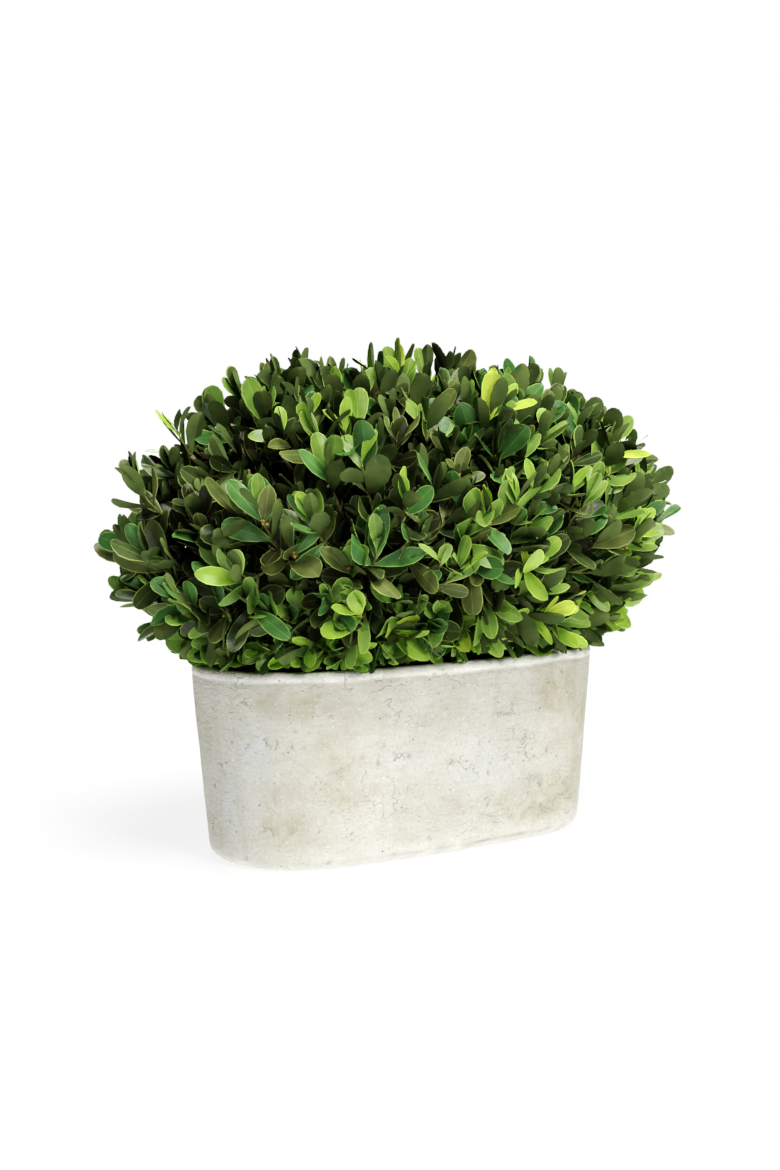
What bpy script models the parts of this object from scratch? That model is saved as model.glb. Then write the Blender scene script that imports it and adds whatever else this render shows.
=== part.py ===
"""A boxwood shrub with a dense rounded crown, growing in a low oval cement planter.

Metres, +Z up. The origin is the middle of the planter's flat underside, and the
planter's long side lies along X. Run it with Blender 4.5.
"""

import math
import random

import bmesh
import bpy
from mathutils import Matrix, Vector

# The gap kept between solids that rest on each other.
SEAT = 0.0003

# The planter: an oval of four arcs that narrows evenly towards its foot.
POT_LENGTH = 0.229
POT_WIDTH = 0.117
POT_HEIGHT = 0.098
POT_END_RADIUS = 0.0545
POT_DRAFT = 0.083
POT_WALL = 0.008
POT_FLOOR = 0.010
BASE_ROUND = 0.008
RIM_OUTER_ROUND = 0.0030
RIM_INNER_ROUND = 0.0020
FLOOR_ROUND = 0.0040
ROUND_STEPS = 3
END_STEPS = 12
SIDE_STEPS = 6

# The oval's end arcs and side arcs meet where they have the same direction.
END_CENTRE = POT_LENGTH / 2 - POT_END_RADIUS
SIDE_RADIUS = (END_CENTRE**2 + (POT_WIDTH / 2) ** 2 - POT_END_RADIUS**2) / (
    POT_WIDTH - 2 * POT_END_RADIUS
)
SIDE_CENTRE = SIDE_RADIUS - POT_WIDTH / 2
ARCS_MEET = math.atan2(SIDE_CENTRE, END_CENTRE)

# The fill that the stem stands on.
FILL_BELOW_RIM = 0.010
FILL_TOP = POT_HEIGHT - FILL_BELOW_RIM

# The stem: height above the fill, with the radius that it has there.
STEM_TAPER = (
    (0.000, 0.0110),
    (0.003, 0.0084),
    (0.008, 0.0070),
    (0.016, 0.0063),
    (0.026, 0.0057),
    (0.038, 0.0050),
)
STEM_LEAN = Vector((0.0030, -0.0018, 0.0))
STEM_SIDES = 16
STEM_HEIGHT = STEM_TAPER[-1][0]

# The boughs leave the stem at these heights above the fill, lower ring and upper ring.
LOWER_BOUGH_RISE = (0.0150, 0.0195)
UPPER_BOUGH_RISE = (0.0290, 0.0320)
BOUGH_RADIUS = 0.0020
BOUGH_TIP_RADIUS = 0.0014
TOP_BOUGH_RADIUS = 0.0038
BOUGH_COLLAR = 0.0012
BOUGH_STEPS = 4
BOUGH_SIDES = 6

# The crown: half an ellipsoid above its widest level and another below it.
CROWN_HALF_LENGTH = 0.1605
CROWN_HALF_WIDTH = 0.1100
CROWN_MIDDLE = 0.1660
CROWN_UP = 0.0905
CROWN_DOWN = 0.0950
CROWN_FOOT = POT_HEIGHT + 0.0015
# The furthest leaf tips, as a share of the outline.
CROWN_LIMIT = 1.075

# Leaves outside the rim may hang this far below it, clear of the planter's wall.
OVERHANG = 0.0060
WALL_CLEARANCE = 0.0020

# The boughs spread inside a ball, and every mass of foliage stays out of it.
HUB = Vector((0.0, 0.0, FILL_TOP + 0.030))
HUB_RADIUS = 0.030

# Where the masses have their middles, as shares of the crown's size and heights.
LOWER_MASSES = 8
LOWER_SPREAD = 0.66
LOWER_LEVEL = 0.136
UPPER_MASSES = 5
UPPER_SPREAD = 0.53
UPPER_LEVEL = 0.197
TOP_LEVEL = 0.222
UPPER_TURN = math.radians(20)

# Half the gap between neighbouring masses, and how far their cores keep inside their spaces.
MASS_CLEARANCE = 0.0006
CORE_CLEARANCE = 0.0004
# The dome that the cores fill lies below the leaf tips, and comes out to the rim at its foot.
LEAF_LAYER = 0.0210
CORE_DOWN = 0.0880
# The dome is uneven: its corners lie this far in or out, by a share of their distance.
CORE_LUMPS = 0.045
CORE_DETAIL = 4

# Sprays of leaves, with a ring of them low over the planter's rim.
SPRAY_SPACING = 0.0230
SPRAY_REACH = (0.94, 1.065)
SKIRT_SPRAYS = 25
SKIRT_LEVEL = CROWN_FOOT + 0.0060
TWIG_RADIUS = 0.0013
TWIG_TIP_RADIUS = 0.0009
TWIG_WANDER = 0.08
TWIG_ROOT = (0.5, 0.9)
MASS_STEM_RADIUS = 0.0016
LEAF_LENGTH = 0.0290
LEAF_WIDTH = 0.0160
LEAF_THICKNESS = 0.0012
LEAF_WIDEST = 0.60
LEAF_ROOT = 0.0016
# How far a pair of leaves leans out from the twig's end.
PAIR_LEAN = (math.radians(28), math.radians(60))
# How strongly the blades turn up to the light.
LEAF_LIFT = 0.8
# Spots on a leaf that must stay in the space, as shares of its length and half its width.
LEAF_SPOTS = ((1.0, 0.0), (0.8, 0.5), (0.8, -0.5), (0.6, 1.0), (0.6, -1.0), (0.3, 0.5), (0.3, -0.5))
# No two leaves are quite alike, in lean and in where they leave the twig.
LEAN_SPREAD = math.radians(5)
BASE_SPREAD = 0.0005
ROLL_TRIES = 9
PAIR_OPENINGS = (1.0, 0.6, 0.3)

SEED = 11

CEMENT = ((0.62, 0.60, 0.55), 0.85)
POTTING_MIX = ((0.07, 0.045, 0.03), 0.95)
BARK = ((0.19, 0.16, 0.08), 0.8)
FOLIAGE = (
    ((0.055, 0.15, 0.022), 0.45),
    ((0.075, 0.19, 0.028), 0.45),
    ((0.035, 0.11, 0.020), 0.45),
    ((0.10, 0.23, 0.035), 0.45),
)

X_AXIS = Vector((1.0, 0.0, 0.0))
UP = Vector((0.0, 0.0, 1.0))


def clear_scene():
    for leftover in list(bpy.data.objects):
        bpy.data.objects.remove(leftover, do_unlink=True)


def make_material(name, finish):
    colour, roughness = finish
    material = bpy.data.materials.new(name)
    material.use_nodes = True
    shader = material.node_tree.nodes["Principled BSDF"]
    shader.inputs["Base Color"].default_value = (*colour, 1.0)
    shader.inputs["Roughness"].default_value = roughness
    shader.inputs["Metallic"].default_value = 0.0
    return material


def add_object(name, data, collection, material):
    obj = bpy.data.objects.new(name, data)
    collection.objects.link(obj)
    if material:
        data.materials.clear()
        data.materials.append(material)
    return obj


def mesh_from(work, name):
    """Ends a bmesh as a new mesh whose faces point outwards."""
    bmesh.ops.recalc_face_normals(work, faces=work.faces)
    mesh = bpy.data.meshes.new(name)
    work.to_mesh(mesh)
    work.free()
    mesh.shade_smooth()
    mesh.set_sharp_from_angle(angle=math.radians(30))
    return mesh


def oval_ring(grown, height):
    """The planter's outline, made larger all round by grown, at one height.

    A ring that is grown keeps the same four centres.
    """
    end_span = (-ARCS_MEET, ARCS_MEET)
    side_span = (ARCS_MEET, math.pi - ARCS_MEET)
    arcs = (
        (END_CENTRE, 0.0, POT_END_RADIUS, end_span, 0.0, END_STEPS),
        (0.0, -SIDE_CENTRE, SIDE_RADIUS, side_span, 0.0, SIDE_STEPS),
        (-END_CENTRE, 0.0, POT_END_RADIUS, end_span, math.pi, END_STEPS),
        (0.0, SIDE_CENTRE, SIDE_RADIUS, side_span, math.pi, SIDE_STEPS),
    )
    ring = []
    for x, y, radius, (first, last), turn, steps in arcs:
        for step in range(steps):
            angle = turn + first + (last - first) * step / steps
            out = radius + grown
            ring.append(Vector((x + out * math.cos(angle), y + out * math.sin(angle), height)))
    return ring


def outside_rim(point):
    """How far outside the rim's outline a point lies, seen from above, or less than 0 inside it."""
    x, y = abs(point.x), abs(point.y)
    if math.atan2(y, x - END_CENTRE) < ARCS_MEET:
        return math.hypot(x - END_CENTRE, y) - POT_END_RADIUS
    return math.hypot(x, y + SIDE_CENTRE) - SIDE_RADIUS


def oval_solid(name, levels):
    """A closed solid through oval rings, and a Bevel that rounds each ring by its own radius.

    levels lists (grown, height, radius of the rounding there), from the underside on.
    """
    work = bmesh.new()
    weights = work.edges.layers.float.new("bevel_weight_edge")
    widest_round = max(radius for _, _, radius in levels)
    rings = [
        [work.verts.new(point) for point in oval_ring(grown, height)]
        for grown, height, _ in levels
    ]
    for lower, upper in zip(rings, rings[1:]):
        for i in range(len(lower)):
            after = (i + 1) % len(lower)
            work.faces.new((lower[i], lower[after], upper[after], upper[i]))
    work.faces.new(reversed(rings[0]))
    work.faces.new(rings[-1])
    for ring, (_, _, radius) in zip(rings, levels):
        for i in range(len(ring)):
            edge = work.edges.get((ring[i], ring[(i + 1) % len(ring)]))
            edge[weights] = radius / widest_round
    return mesh_from(work, name), widest_round


def add_oval_solid(name, levels, collection, material):
    mesh, widest_round = oval_solid(name, levels)
    solid = add_object(name, mesh, collection, material)
    rounding = solid.modifiers.new("Rounded edges", "BEVEL")
    rounding.limit_method = "WEIGHT"
    rounding.width = widest_round
    rounding.segments = ROUND_STEPS
    return solid


def make_pot(collection):
    """The planter: a thick-walled oval cup with rounded foot and rim."""
    inner_foot = -POT_WALL - POT_DRAFT * (POT_HEIGHT - POT_FLOOR)
    levels = (
        (-POT_DRAFT * POT_HEIGHT, 0.0, BASE_ROUND),
        (0.0, POT_HEIGHT, RIM_OUTER_ROUND),
        (-POT_WALL, POT_HEIGHT, RIM_INNER_ROUND),
        (inner_foot, POT_FLOOR, FLOOR_ROUND),
    )
    add_oval_solid("pot", levels, collection, make_material("Pale cement", CEMENT))


def make_fill(collection):
    """The potting mix inside the planter, up to a little below the rim."""
    foot = POT_FLOOR + SEAT
    foot_grown = -POT_WALL - SEAT - POT_DRAFT * (POT_HEIGHT - foot)
    top_grown = -POT_WALL - SEAT - POT_DRAFT * FILL_BELOW_RIM
    levels = ((foot_grown, foot, FLOOR_ROUND), (top_grown, FILL_TOP, 0.0))
    add_oval_solid("fill", levels, collection, make_material("Potting mix", POTTING_MIX))


def add_limb(name, points, radii, sides, collection, material):
    """A tapering round limb along points, as a curve with filled caps."""
    curve = bpy.data.curves.new(name, "CURVE")
    curve.dimensions = "3D"
    curve.use_fill_caps = True
    curve.bevel_depth = 1.0
    curve.bevel_resolution = sides // 2 - 2
    spline = curve.splines.new("POLY")
    spline.points.add(len(points) - 1)
    for point, place, radius in zip(spline.points, points, radii):
        point.co = (*place, 1.0)
        point.radius = radius
    return add_object(name, curve, collection, material)


def stem_place(rise):
    """The stem's middle at a height above the fill.

    It stands upright at the foot, which is cut level, and leans more and more above it.
    """
    upright = STEM_TAPER[1][0]
    share = max(rise - upright, 0.0) / (STEM_HEIGHT - upright)
    return STEM_LEAN * share**1.5 + UP * (FILL_TOP + SEAT + rise)


def stem_at(rise):
    """The stem's middle, the way it runs and its radius at a height above the fill."""
    for (low, low_radius), (high, high_radius) in zip(STEM_TAPER, STEM_TAPER[1:]):
        if rise <= high:
            break
    share = (rise - low) / (high - low)
    low_place, high_place = stem_place(low), stem_place(high)
    way = (high_place - low_place).normalized()
    return low_place.lerp(high_place, share), way, low_radius + (high_radius - low_radius) * share


def make_stem(collection, bark):
    places = [stem_place(rise) for rise, _ in STEM_TAPER]
    radii = [radius for _, radius in STEM_TAPER]
    add_limb("stem", places, radii, STEM_SIDES, collection, bark)


def bent_line(start, start_way, end, end_way, steps):
    """Points on a smooth bend that leaves start along start_way and reaches end along end_way."""
    reach = (end - start).length / 3
    first = start + start_way * reach
    second = end - end_way * reach
    line = []
    for i in range(steps + 1):
        t = i / steps
        point = start * (1 - t) ** 3 + first * 3 * t * (1 - t) ** 2
        point = point + second * 3 * t**2 * (1 - t) + end * t**3
        line.append(point)
    return line


def tapering(first, last, count):
    return [first + (last - first) * i / (count - 1) for i in range(count)]


def make_bough(name, mass, rise, collection, bark):
    """One limb from the stem's side, or its top for the highest mass, to its mass of foliage."""
    end = mass.gate - mass.way * SEAT
    if rise is None:
        middle, start_way, _ = stem_at(STEM_HEIGHT)
        start = middle + start_way * SEAT
        radius = TOP_BOUGH_RADIUS
    else:
        middle, stem_way, stem_radius = stem_at(rise)
        outwards = Vector((mass.centre.x, mass.centre.y, 0.0)).normalized()
        start_way = (outwards - stem_way * outwards.dot(stem_way)).normalized()
        start = middle + start_way * (stem_radius + SEAT)
        radius = BOUGH_RADIUS
    # A short straight collar at each end keeps the limb's flat ends square to what they meet.
    first = start + start_way * BOUGH_COLLAR
    last = end - mass.way * BOUGH_COLLAR
    line = [start, *bent_line(first, start_way, last, mass.way, BOUGH_STEPS), end]
    radii = tapering(radius, BOUGH_TIP_RADIUS, len(line))
    add_limb(name, line, radii, BOUGH_SIDES, collection, bark)


def crown_share(point):
    """How far out a point lies, from 0 in the crown's middle to 1 on its outline."""
    upright = CROWN_UP if point.z > CROWN_MIDDLE else CROWN_DOWN
    return math.sqrt(
        (point.x / CROWN_HALF_LENGTH) ** 2
        + (point.y / CROWN_HALF_WIDTH) ** 2
        + ((point.z - CROWN_MIDDLE) / upright) ** 2
    )


class Mass:
    """One mass of foliage and the space that it keeps to.

    The space is a wedge of the crown. Seen from the hub, it lies nearer to the way of this
    mass than to that of any other. It is clear of the planter and of the ball where the
    boughs spread.
    """

    def __init__(self, name, centre):
        self.name = name
        self.centre = centre
        self.way = (centre - HUB).normalized()
        # The gate is where the bough ends and the mass's own stem starts.
        self.gate = HUB + self.way * HUB_RADIUS
        self.walls = []

    def build_walls(self, masses):
        """Each wall is a plane as (way out, distance along it that stays inside)."""
        self.walls.append((-self.way, -self.way.dot(self.gate)))
        for other in masses:
            if other is self:
                continue
            out = (other.way - self.way).normalized()
            self.walls.append((out, out.dot(HUB) - MASS_CLEARANCE))

    def holds(self, point):
        """Whether a point lies in the space."""
        if point.z < CROWN_FOOT - OVERHANG or crown_share(point) > CROWN_LIMIT:
            return False
        if point.z < CROWN_FOOT and outside_rim(point) < WALL_CLEARANCE:
            return False
        return all(out.dot(point) < inside for out, inside in self.walls)

    def holds_leaf(self, base, along, width_way):
        spots = (
            base + along * LEAF_LENGTH * share + width_way * LEAF_WIDTH / 2 * side
            for share, side in LEAF_SPOTS
        )
        return all(self.holds(spot) for spot in spots)


def ring_of_places(count, spread, level, turn):
    """Places round an ellipse in the crown's proportions, an equal walk apart."""
    half_length = CROWN_HALF_LENGTH * spread
    half_width = CROWN_HALF_WIDTH * spread
    fine = 720
    walked = [0.0]
    outline = []
    for i in range(fine + 1):
        angle = turn + math.tau * i / fine
        outline.append(Vector((half_length * math.cos(angle), half_width * math.sin(angle), level)))
        if i:
            walked.append(walked[-1] + (outline[i] - outline[i - 1]).length)
    places = []
    for k in range(count):
        wanted = walked[-1] * k / count
        place = next(i for i, distance in enumerate(walked) if distance >= wanted)
        places.append(outline[place])
    return places


def plan_masses():
    """The masses in the order lower ring, upper ring, top, each with its bough's height."""
    lower = ring_of_places(LOWER_MASSES, LOWER_SPREAD, LOWER_LEVEL, 0.0)
    upper = ring_of_places(UPPER_MASSES, UPPER_SPREAD, UPPER_LEVEL, UPPER_TURN)
    planned = []
    for i, centre in enumerate(lower):
        planned.append((Mass(f"foliage_low_{i + 1}", centre), LOWER_BOUGH_RISE[i % 2]))
    for i, centre in enumerate(upper):
        planned.append((Mass(f"foliage_high_{i + 1}", centre), UPPER_BOUGH_RISE[i % 2]))
    planned.append((Mass("foliage_top", Vector((0.0, 0.0, TOP_LEVEL))), None))
    masses = [mass for mass, _ in planned]
    for mass in masses:
        mass.build_walls(masses)
    return planned


def spray_places():
    """Places on the crown's outline: a low ring, and others at random, none too close together."""
    chance = random.Random(SEED)
    golden = math.pi * (3 - math.sqrt(5))
    count = 5000
    candidates = []
    for i in range(count):
        height = 1 - 2 * (i + 0.5) / count
        ring = math.sqrt(1 - height**2)
        upright = CROWN_UP if height > 0 else CROWN_DOWN
        place = Vector(
            (
                CROWN_HALF_LENGTH * ring * math.cos(golden * i),
                CROWN_HALF_WIDTH * ring * math.sin(golden * i),
                CROWN_MIDDLE + upright * height,
            )
        )
        if place.z > SKIRT_LEVEL:
            candidates.append(place)
    chance.shuffle(candidates)
    skirt_spread = math.sqrt(1 - ((SKIRT_LEVEL - CROWN_MIDDLE) / CROWN_DOWN) ** 2)
    chosen = ring_of_places(SKIRT_SPRAYS, skirt_spread, SKIRT_LEVEL, 0.0)
    for place in candidates:
        if all((place - other).length > SPRAY_SPACING for other in chosen):
            chosen.append(place)
    return chosen


def leaf_mesh():
    """A leaf of eight faces, widest beyond its middle, from its root at 0 along +X."""
    work = bmesh.new()
    bmesh.ops.create_uvsphere(work, u_segments=4, v_segments=2, radius=1.0)
    for corner in work.verts:
        x, y, z = corner.co
        along = -LEAF_ROOT if x < -0.5 else LEAF_LENGTH if x > 0.5 else LEAF_LENGTH * LEAF_WIDEST
        corner.co = (along, y * LEAF_WIDTH / 2, z * LEAF_THICKNESS / 2)
    return mesh_from(work, "Leaf")


def basis(along, across, origin):
    """A matrix that lays X along one way and Y as near as it can to another, at origin."""
    x = along.normalized()
    z = x.cross(across).normalized()
    y = z.cross(x)
    turned = Matrix((x, y, z)).transposed().to_4x4()
    return Matrix.Translation(origin) @ turned


def add_twig(name, start, end, radius, tip_radius, sides, collection):
    """A straight tapering twig between two points."""
    work = bmesh.new()
    length = (end - start).length
    bmesh.ops.create_cone(
        work, cap_ends=True, segments=sides, radius1=radius, radius2=tip_radius, depth=length
    )
    twig = add_object(name, mesh_from(work, name), collection, None)
    turn = UP.rotation_difference(end - start).to_matrix().to_4x4()
    twig.matrix_world = Matrix.Translation((start + end) / 2) @ turn
    return twig


def leaf_ways(way, side, lean):
    """The ways a leaf's length and width run. Its face looks along the twig and up to the light."""
    along = way * math.cos(lean) + side * math.sin(lean)
    width_way = along.cross(way + UP * LEAF_LIFT).normalized()
    return along, width_way


def add_pair(mass, middle, way, across, pair_lean, leaf, chance, collection):
    """Two leaves that face each other across the twig. One that would leave the space is skipped."""
    for side in (across, -across):
        lean = pair_lean + chance.uniform(-LEAN_SPREAD, LEAN_SPREAD)
        base = middle + way * chance.uniform(-BASE_SPREAD, BASE_SPREAD)
        along, width_way = leaf_ways(way, side, lean)
        if mass.holds_leaf(base, along, width_way):
            blade = add_object("Leaf", leaf, collection, None)
            blade.matrix_world = basis(along, width_way, base)


def add_spray(mass, tip, leaf, chance, collection):
    """A twig from the mass's stem, with a pair of leaves whose tips reach as far as tip.

    The pair is turned about the twig, or else closed up, until both leaves fit the space.
    """
    root = mass.centre.lerp(mass.gate, chance.uniform(*TWIG_ROOT))
    wander = Vector((chance.gauss(0, 1), chance.gauss(0, 1), chance.gauss(0, 1)))
    way = ((tip - root).normalized() + wander * TWIG_WANDER).normalized()
    lean = chance.uniform(*PAIR_LEAN)
    end = tip - way * LEAF_LENGTH * math.cos(lean)
    if not mass.holds(end):
        return
    add_twig("Twig", root, end + way * TWIG_TIP_RADIUS, TWIG_RADIUS, TWIG_TIP_RADIUS, 3, collection)
    side = way.cross(UP if abs(way.z) < 0.9 else X_AXIS).normalized()
    first_roll = chance.uniform(0, math.pi)
    tries = [
        (Matrix.Rotation(first_roll + turn * math.pi / ROLL_TRIES, 3, way) @ side, lean * opening)
        for opening in PAIR_OPENINGS
        for turn in range(ROLL_TRIES)
    ]
    across, lean = max(tries, key=lambda one: pair_fit(mass, end, way, *one))
    add_pair(mass, end, way, across, lean, leaf, chance, collection)


def pair_fit(mass, base, way, across, lean):
    """How many of a pair's two leaves stay in the space."""
    return sum(mass.holds_leaf(base, *leaf_ways(way, half, lean)) for half in (across, -across))


def core_mesh(mass):
    """The part of a dome inside the crown that lies in this mass's space, a little off its walls."""
    work = bmesh.new()
    bmesh.ops.create_icosphere(work, subdivisions=CORE_DETAIL, radius=1.0)
    chance = random.Random(SEED)
    for corner in work.verts:
        x, y, z = corner.co * (1 + chance.uniform(-CORE_LUMPS, CORE_LUMPS))
        upright = CROWN_UP - LEAF_LAYER if z > 0 else CORE_DOWN
        half_length = CROWN_HALF_LENGTH - LEAF_LAYER
        half_width = CROWN_HALF_WIDTH - LEAF_LAYER
        corner.co = (x * half_length, y * half_width, CROWN_MIDDLE + z * upright)
    for out, inside in [(-UP, -CROWN_FOOT), *mass.walls]:
        everything = [*work.verts, *work.edges, *work.faces]
        middle = out * (inside - CORE_CLEARANCE)
        cut = bmesh.ops.bisect_plane(
            work, geom=everything, plane_co=middle, plane_no=out, clear_outer=True
        )
        opened = [piece for piece in cut["geom_cut"] if isinstance(piece, bmesh.types.BMEdge)]
        if opened:
            bmesh.ops.edgeloop_fill(work, edges=opened)
    return mesh_from(work, mass.name)


def largest_shell(mesh):
    """Drops loose scraps and fills sealed hollows: only the shell with the largest box is kept."""
    work = bmesh.new()
    work.from_mesh(mesh)
    unseen = set(work.verts)
    shells = []
    while unseen:
        edge_of_search = [unseen.pop()]
        shell = set(edge_of_search)
        while edge_of_search:
            corner = edge_of_search.pop()
            for edge in corner.link_edges:
                other = edge.other_vert(corner)
                if other in unseen:
                    unseen.discard(other)
                    shell.add(other)
                    edge_of_search.append(other)
        shells.append(shell)
    shells.sort(key=lambda shell: max(v.co.length for v in shell) - min(v.co.length for v in shell))
    for shell in shells[:-1]:
        bmesh.ops.delete(work, geom=list(shell), context="VERTS")
    work.to_mesh(mesh)
    work.free()


def fuse(body, pieces):
    """One Boolean union of the body with every piece of a collection, applied."""
    joining = body.modifiers.new("Fused", "BOOLEAN")
    joining.operation = "UNION"
    joining.operand_type = "COLLECTION"
    joining.collection = pieces
    joining.solver = "EXACT"
    graph = bpy.context.evaluated_depsgraph_get()
    fused = bpy.data.meshes.new_from_object(body.evaluated_get(graph))
    fused.name = body.name
    body.modifiers.clear()
    body.data = fused
    for piece in list(pieces.objects):
        bpy.data.objects.remove(piece, do_unlink=True)
    largest_shell(fused)


def make_mass(mass, tips, leaf, collection, material, chance):
    """One mass of foliage: its core, its short stem, and sprays of leaves, fused into one body."""
    body = add_object(mass.name, core_mesh(mass), collection, material)
    pieces = bpy.data.collections.new(f"{mass.name} pieces")
    bpy.context.scene.collection.children.link(pieces)
    add_twig("Mass stem", mass.gate, mass.centre, MASS_STEM_RADIUS, TWIG_RADIUS, 6, pieces)
    for tip in tips:
        reach = chance.uniform(*SPRAY_REACH)
        middle = Vector((0.0, 0.0, CROWN_MIDDLE))
        add_spray(mass, middle + (tip - middle) * reach, leaf, chance, pieces)
    fuse(body, pieces)
    bpy.data.collections.remove(pieces)


def main():
    clear_scene()
    plant = bpy.data.collections.new("Potted boxwood")
    bpy.context.scene.collection.children.link(plant)
    make_pot(plant)
    make_fill(plant)
    bark = make_material("Young bark", BARK)
    make_stem(plant, bark)
    greens = [make_material(f"Foliage {i + 1}", finish) for i, finish in enumerate(FOLIAGE)]
    leaf = leaf_mesh()
    planned = plan_masses()
    masses = [mass for mass, _ in planned]
    tips_of = {mass.name: [] for mass in masses}
    for tip in spray_places():
        nearest = max(masses, key=lambda mass: mass.way.dot((tip - HUB).normalized()))
        tips_of[nearest.name].append(tip)
    for i, (mass, rise) in enumerate(planned):
        chance = random.Random(SEED + i)
        make_bough(mass.name.replace("foliage", "bough"), mass, rise, plant, bark)
        make_mass(mass, tips_of[mass.name], leaf, plant, greens[i % len(greens)], chance)


main()
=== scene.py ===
"""Looks for a potted boxwood: a dense rounded crown of small glossy leaves on a short stem,
growing in a low oval cement planter.

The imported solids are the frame. The planter, the potting mix, the stem, the boughs and the
masses of foliage are each replaced by a finer piece in the same place. Metres, +Z up.
"""

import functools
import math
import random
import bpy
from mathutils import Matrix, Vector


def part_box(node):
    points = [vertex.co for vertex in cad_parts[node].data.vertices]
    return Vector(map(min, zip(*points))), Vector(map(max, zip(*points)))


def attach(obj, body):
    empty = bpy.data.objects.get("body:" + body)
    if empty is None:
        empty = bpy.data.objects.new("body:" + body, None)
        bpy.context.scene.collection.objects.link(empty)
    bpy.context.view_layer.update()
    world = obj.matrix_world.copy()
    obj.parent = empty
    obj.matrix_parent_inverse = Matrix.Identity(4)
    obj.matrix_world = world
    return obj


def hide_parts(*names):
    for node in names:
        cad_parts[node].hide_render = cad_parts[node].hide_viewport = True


bl_info = {
    "name": "Potted boxwood",
    "version": (1, 0, 0),
    "blender": (4, 5, 0),
    "location": "View3D > Sidebar > Boxwood",
    "description": "Grows a boxwood's leaves, twigs and bark over its solids, in its planter",
    "category": "Add Mesh",
}

import bpy
import numpy as np
from bpy.props import FloatProperty, FloatVectorProperty, IntProperty, PointerProperty
from mathutils import Matrix, Vector

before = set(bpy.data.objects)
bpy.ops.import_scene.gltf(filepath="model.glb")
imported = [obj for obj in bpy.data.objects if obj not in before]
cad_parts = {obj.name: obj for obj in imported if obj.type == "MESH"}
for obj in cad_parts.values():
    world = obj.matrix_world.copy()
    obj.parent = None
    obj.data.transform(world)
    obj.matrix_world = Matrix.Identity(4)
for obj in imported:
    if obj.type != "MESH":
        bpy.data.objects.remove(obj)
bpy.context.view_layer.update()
BODY = "root"
UP = np.array((0.0, 0.0, 1.0))

# The planter's outline is an oval of four arcs, and narrows evenly towards its foot.
POT_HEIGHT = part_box("pot")[1].z
POT_LENGTH = 0.229
POT_WIDTH = 0.117
POT_END_RADIUS = 0.0545
POT_DRAFT = 0.083
POT_WALL = 0.008
POT_FLOOR = 0.010
BASE_ROUND = 0.008
RIM_OUTER_ROUND = 0.0030
RIM_INNER_ROUND = 0.0020
END_CENTRE = POT_LENGTH / 2 - POT_END_RADIUS
SIDE_RADIUS = (END_CENTRE**2 + (POT_WIDTH / 2) ** 2 - POT_END_RADIUS**2) / (
    POT_WIDTH - 2 * POT_END_RADIUS
)
SIDE_CENTRE = SIDE_RADIUS - POT_WIDTH / 2
ARCS_MEET = math.atan2(SIDE_CENTRE, END_CENTRE)
FILL_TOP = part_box("fill")[1].z
SEAT = 0.0003

# The stem: height above the fill, with the radius that it has there.
STEM_TAPER = np.array(
    (
        (0.000, 0.0110),
        (0.003, 0.0084),
        (0.008, 0.0070),
        (0.016, 0.0063),
        (0.026, 0.0057),
        (0.038, 0.0050),
    )
)
STEM_LEAN = np.array((0.0030, -0.0018, 0.0))
LOWER_BOUGH_RISE = (0.0150, 0.0195)
UPPER_BOUGH_RISE = (0.0290, 0.0320)
BOUGH_RADII = (0.0020, 0.0014)
TOP_BOUGH_RADIUS = 0.0038
MASS_STEM_RADII = (0.0015, 0.0013)
BARK_SEED, BUD_SEED = 3, 5

# The crown: half an ellipsoid above its widest level and another below it. No leaf reaches
# past CROWN_LIMIT times its outline. It leans along LEAN_WAY, in full from LEAN_FULL above
# its foot.
CROWN_HALF_LENGTH = 0.1605
CROWN_HALF_WIDTH = 0.1100
CROWN_MIDDLE = 0.1660
CROWN_CENTRE = np.array((0.0, 0.0, CROWN_MIDDLE))
CROWN_UP = 0.0905
CROWN_DOWN = 0.0950
CROWN_FOOT = POT_HEIGHT + 0.0015
CROWN_LIMIT = 1.085
CROWN_LEAN = 0.065
LEAN_WAY = np.array((0.8294, -0.5586))
LEAN_FULL = 0.05
# Where the crown swells or shrinks: way out from its middle, reach, amount.
CROWN_SWELLS = (
    ((-0.80, 0.26, 0.54), 0.24, 0.090),
    ((-0.66, 0.21, 0.72), 0.18, 0.050),
    ((-0.92, 0.29, 0.26), 0.15, -0.130),
    ((-0.94, 0.30, -0.12), 0.14, -0.040),
    ((-0.91, 0.29, -0.31), 0.20, -0.120),
    ((0.94, -0.30, 0.17), 0.18, 0.110),
    ((0.95, -0.30, -0.09), 0.15, -0.085),
    ((0.88, -0.28, -0.38), 0.22, -0.070),
    ((0.64, -0.20, 0.74), 0.24, -0.085),
    ((0.08, -0.03, 0.99), 0.20, -0.080),
    ((0.36, -0.12, 0.92), 0.13, 0.060),
    ((-0.76, -0.55, 0.36), 0.16, -0.130),
    ((-0.90, -0.18, 0.39), 0.14, -0.090),
)
# Patches of painted shade, where the amount is below 0, and of painted light, where it is above,
# on its leaves, in the same terms.
CROWN_PAINTED_SHADE_AND_LIGHT = (
    ((-0.99, -0.10, 0.02), 0.30, -1.1),
    ((-0.93, -0.18, -0.36), 0.26, -0.8),
    ((-0.76, -0.55, 0.34), 0.16, -0.9),
    ((-0.91, -0.22, 0.34), 0.14, -0.6),
    ((-0.20, -0.97, 0.05), 0.22, -1.0),
    ((0.27, -0.91, 0.30), 0.20, -1.0),
    ((-0.87, -0.49, -0.07), 0.15, 0.6),
    ((-0.07, -0.85, 0.51), 0.20, 0.8),
    ((0.20, -0.42, 0.89), 0.25, 0.6),
    ((0.72, -0.66, 0.24), 0.20, 0.8),
)

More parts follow.
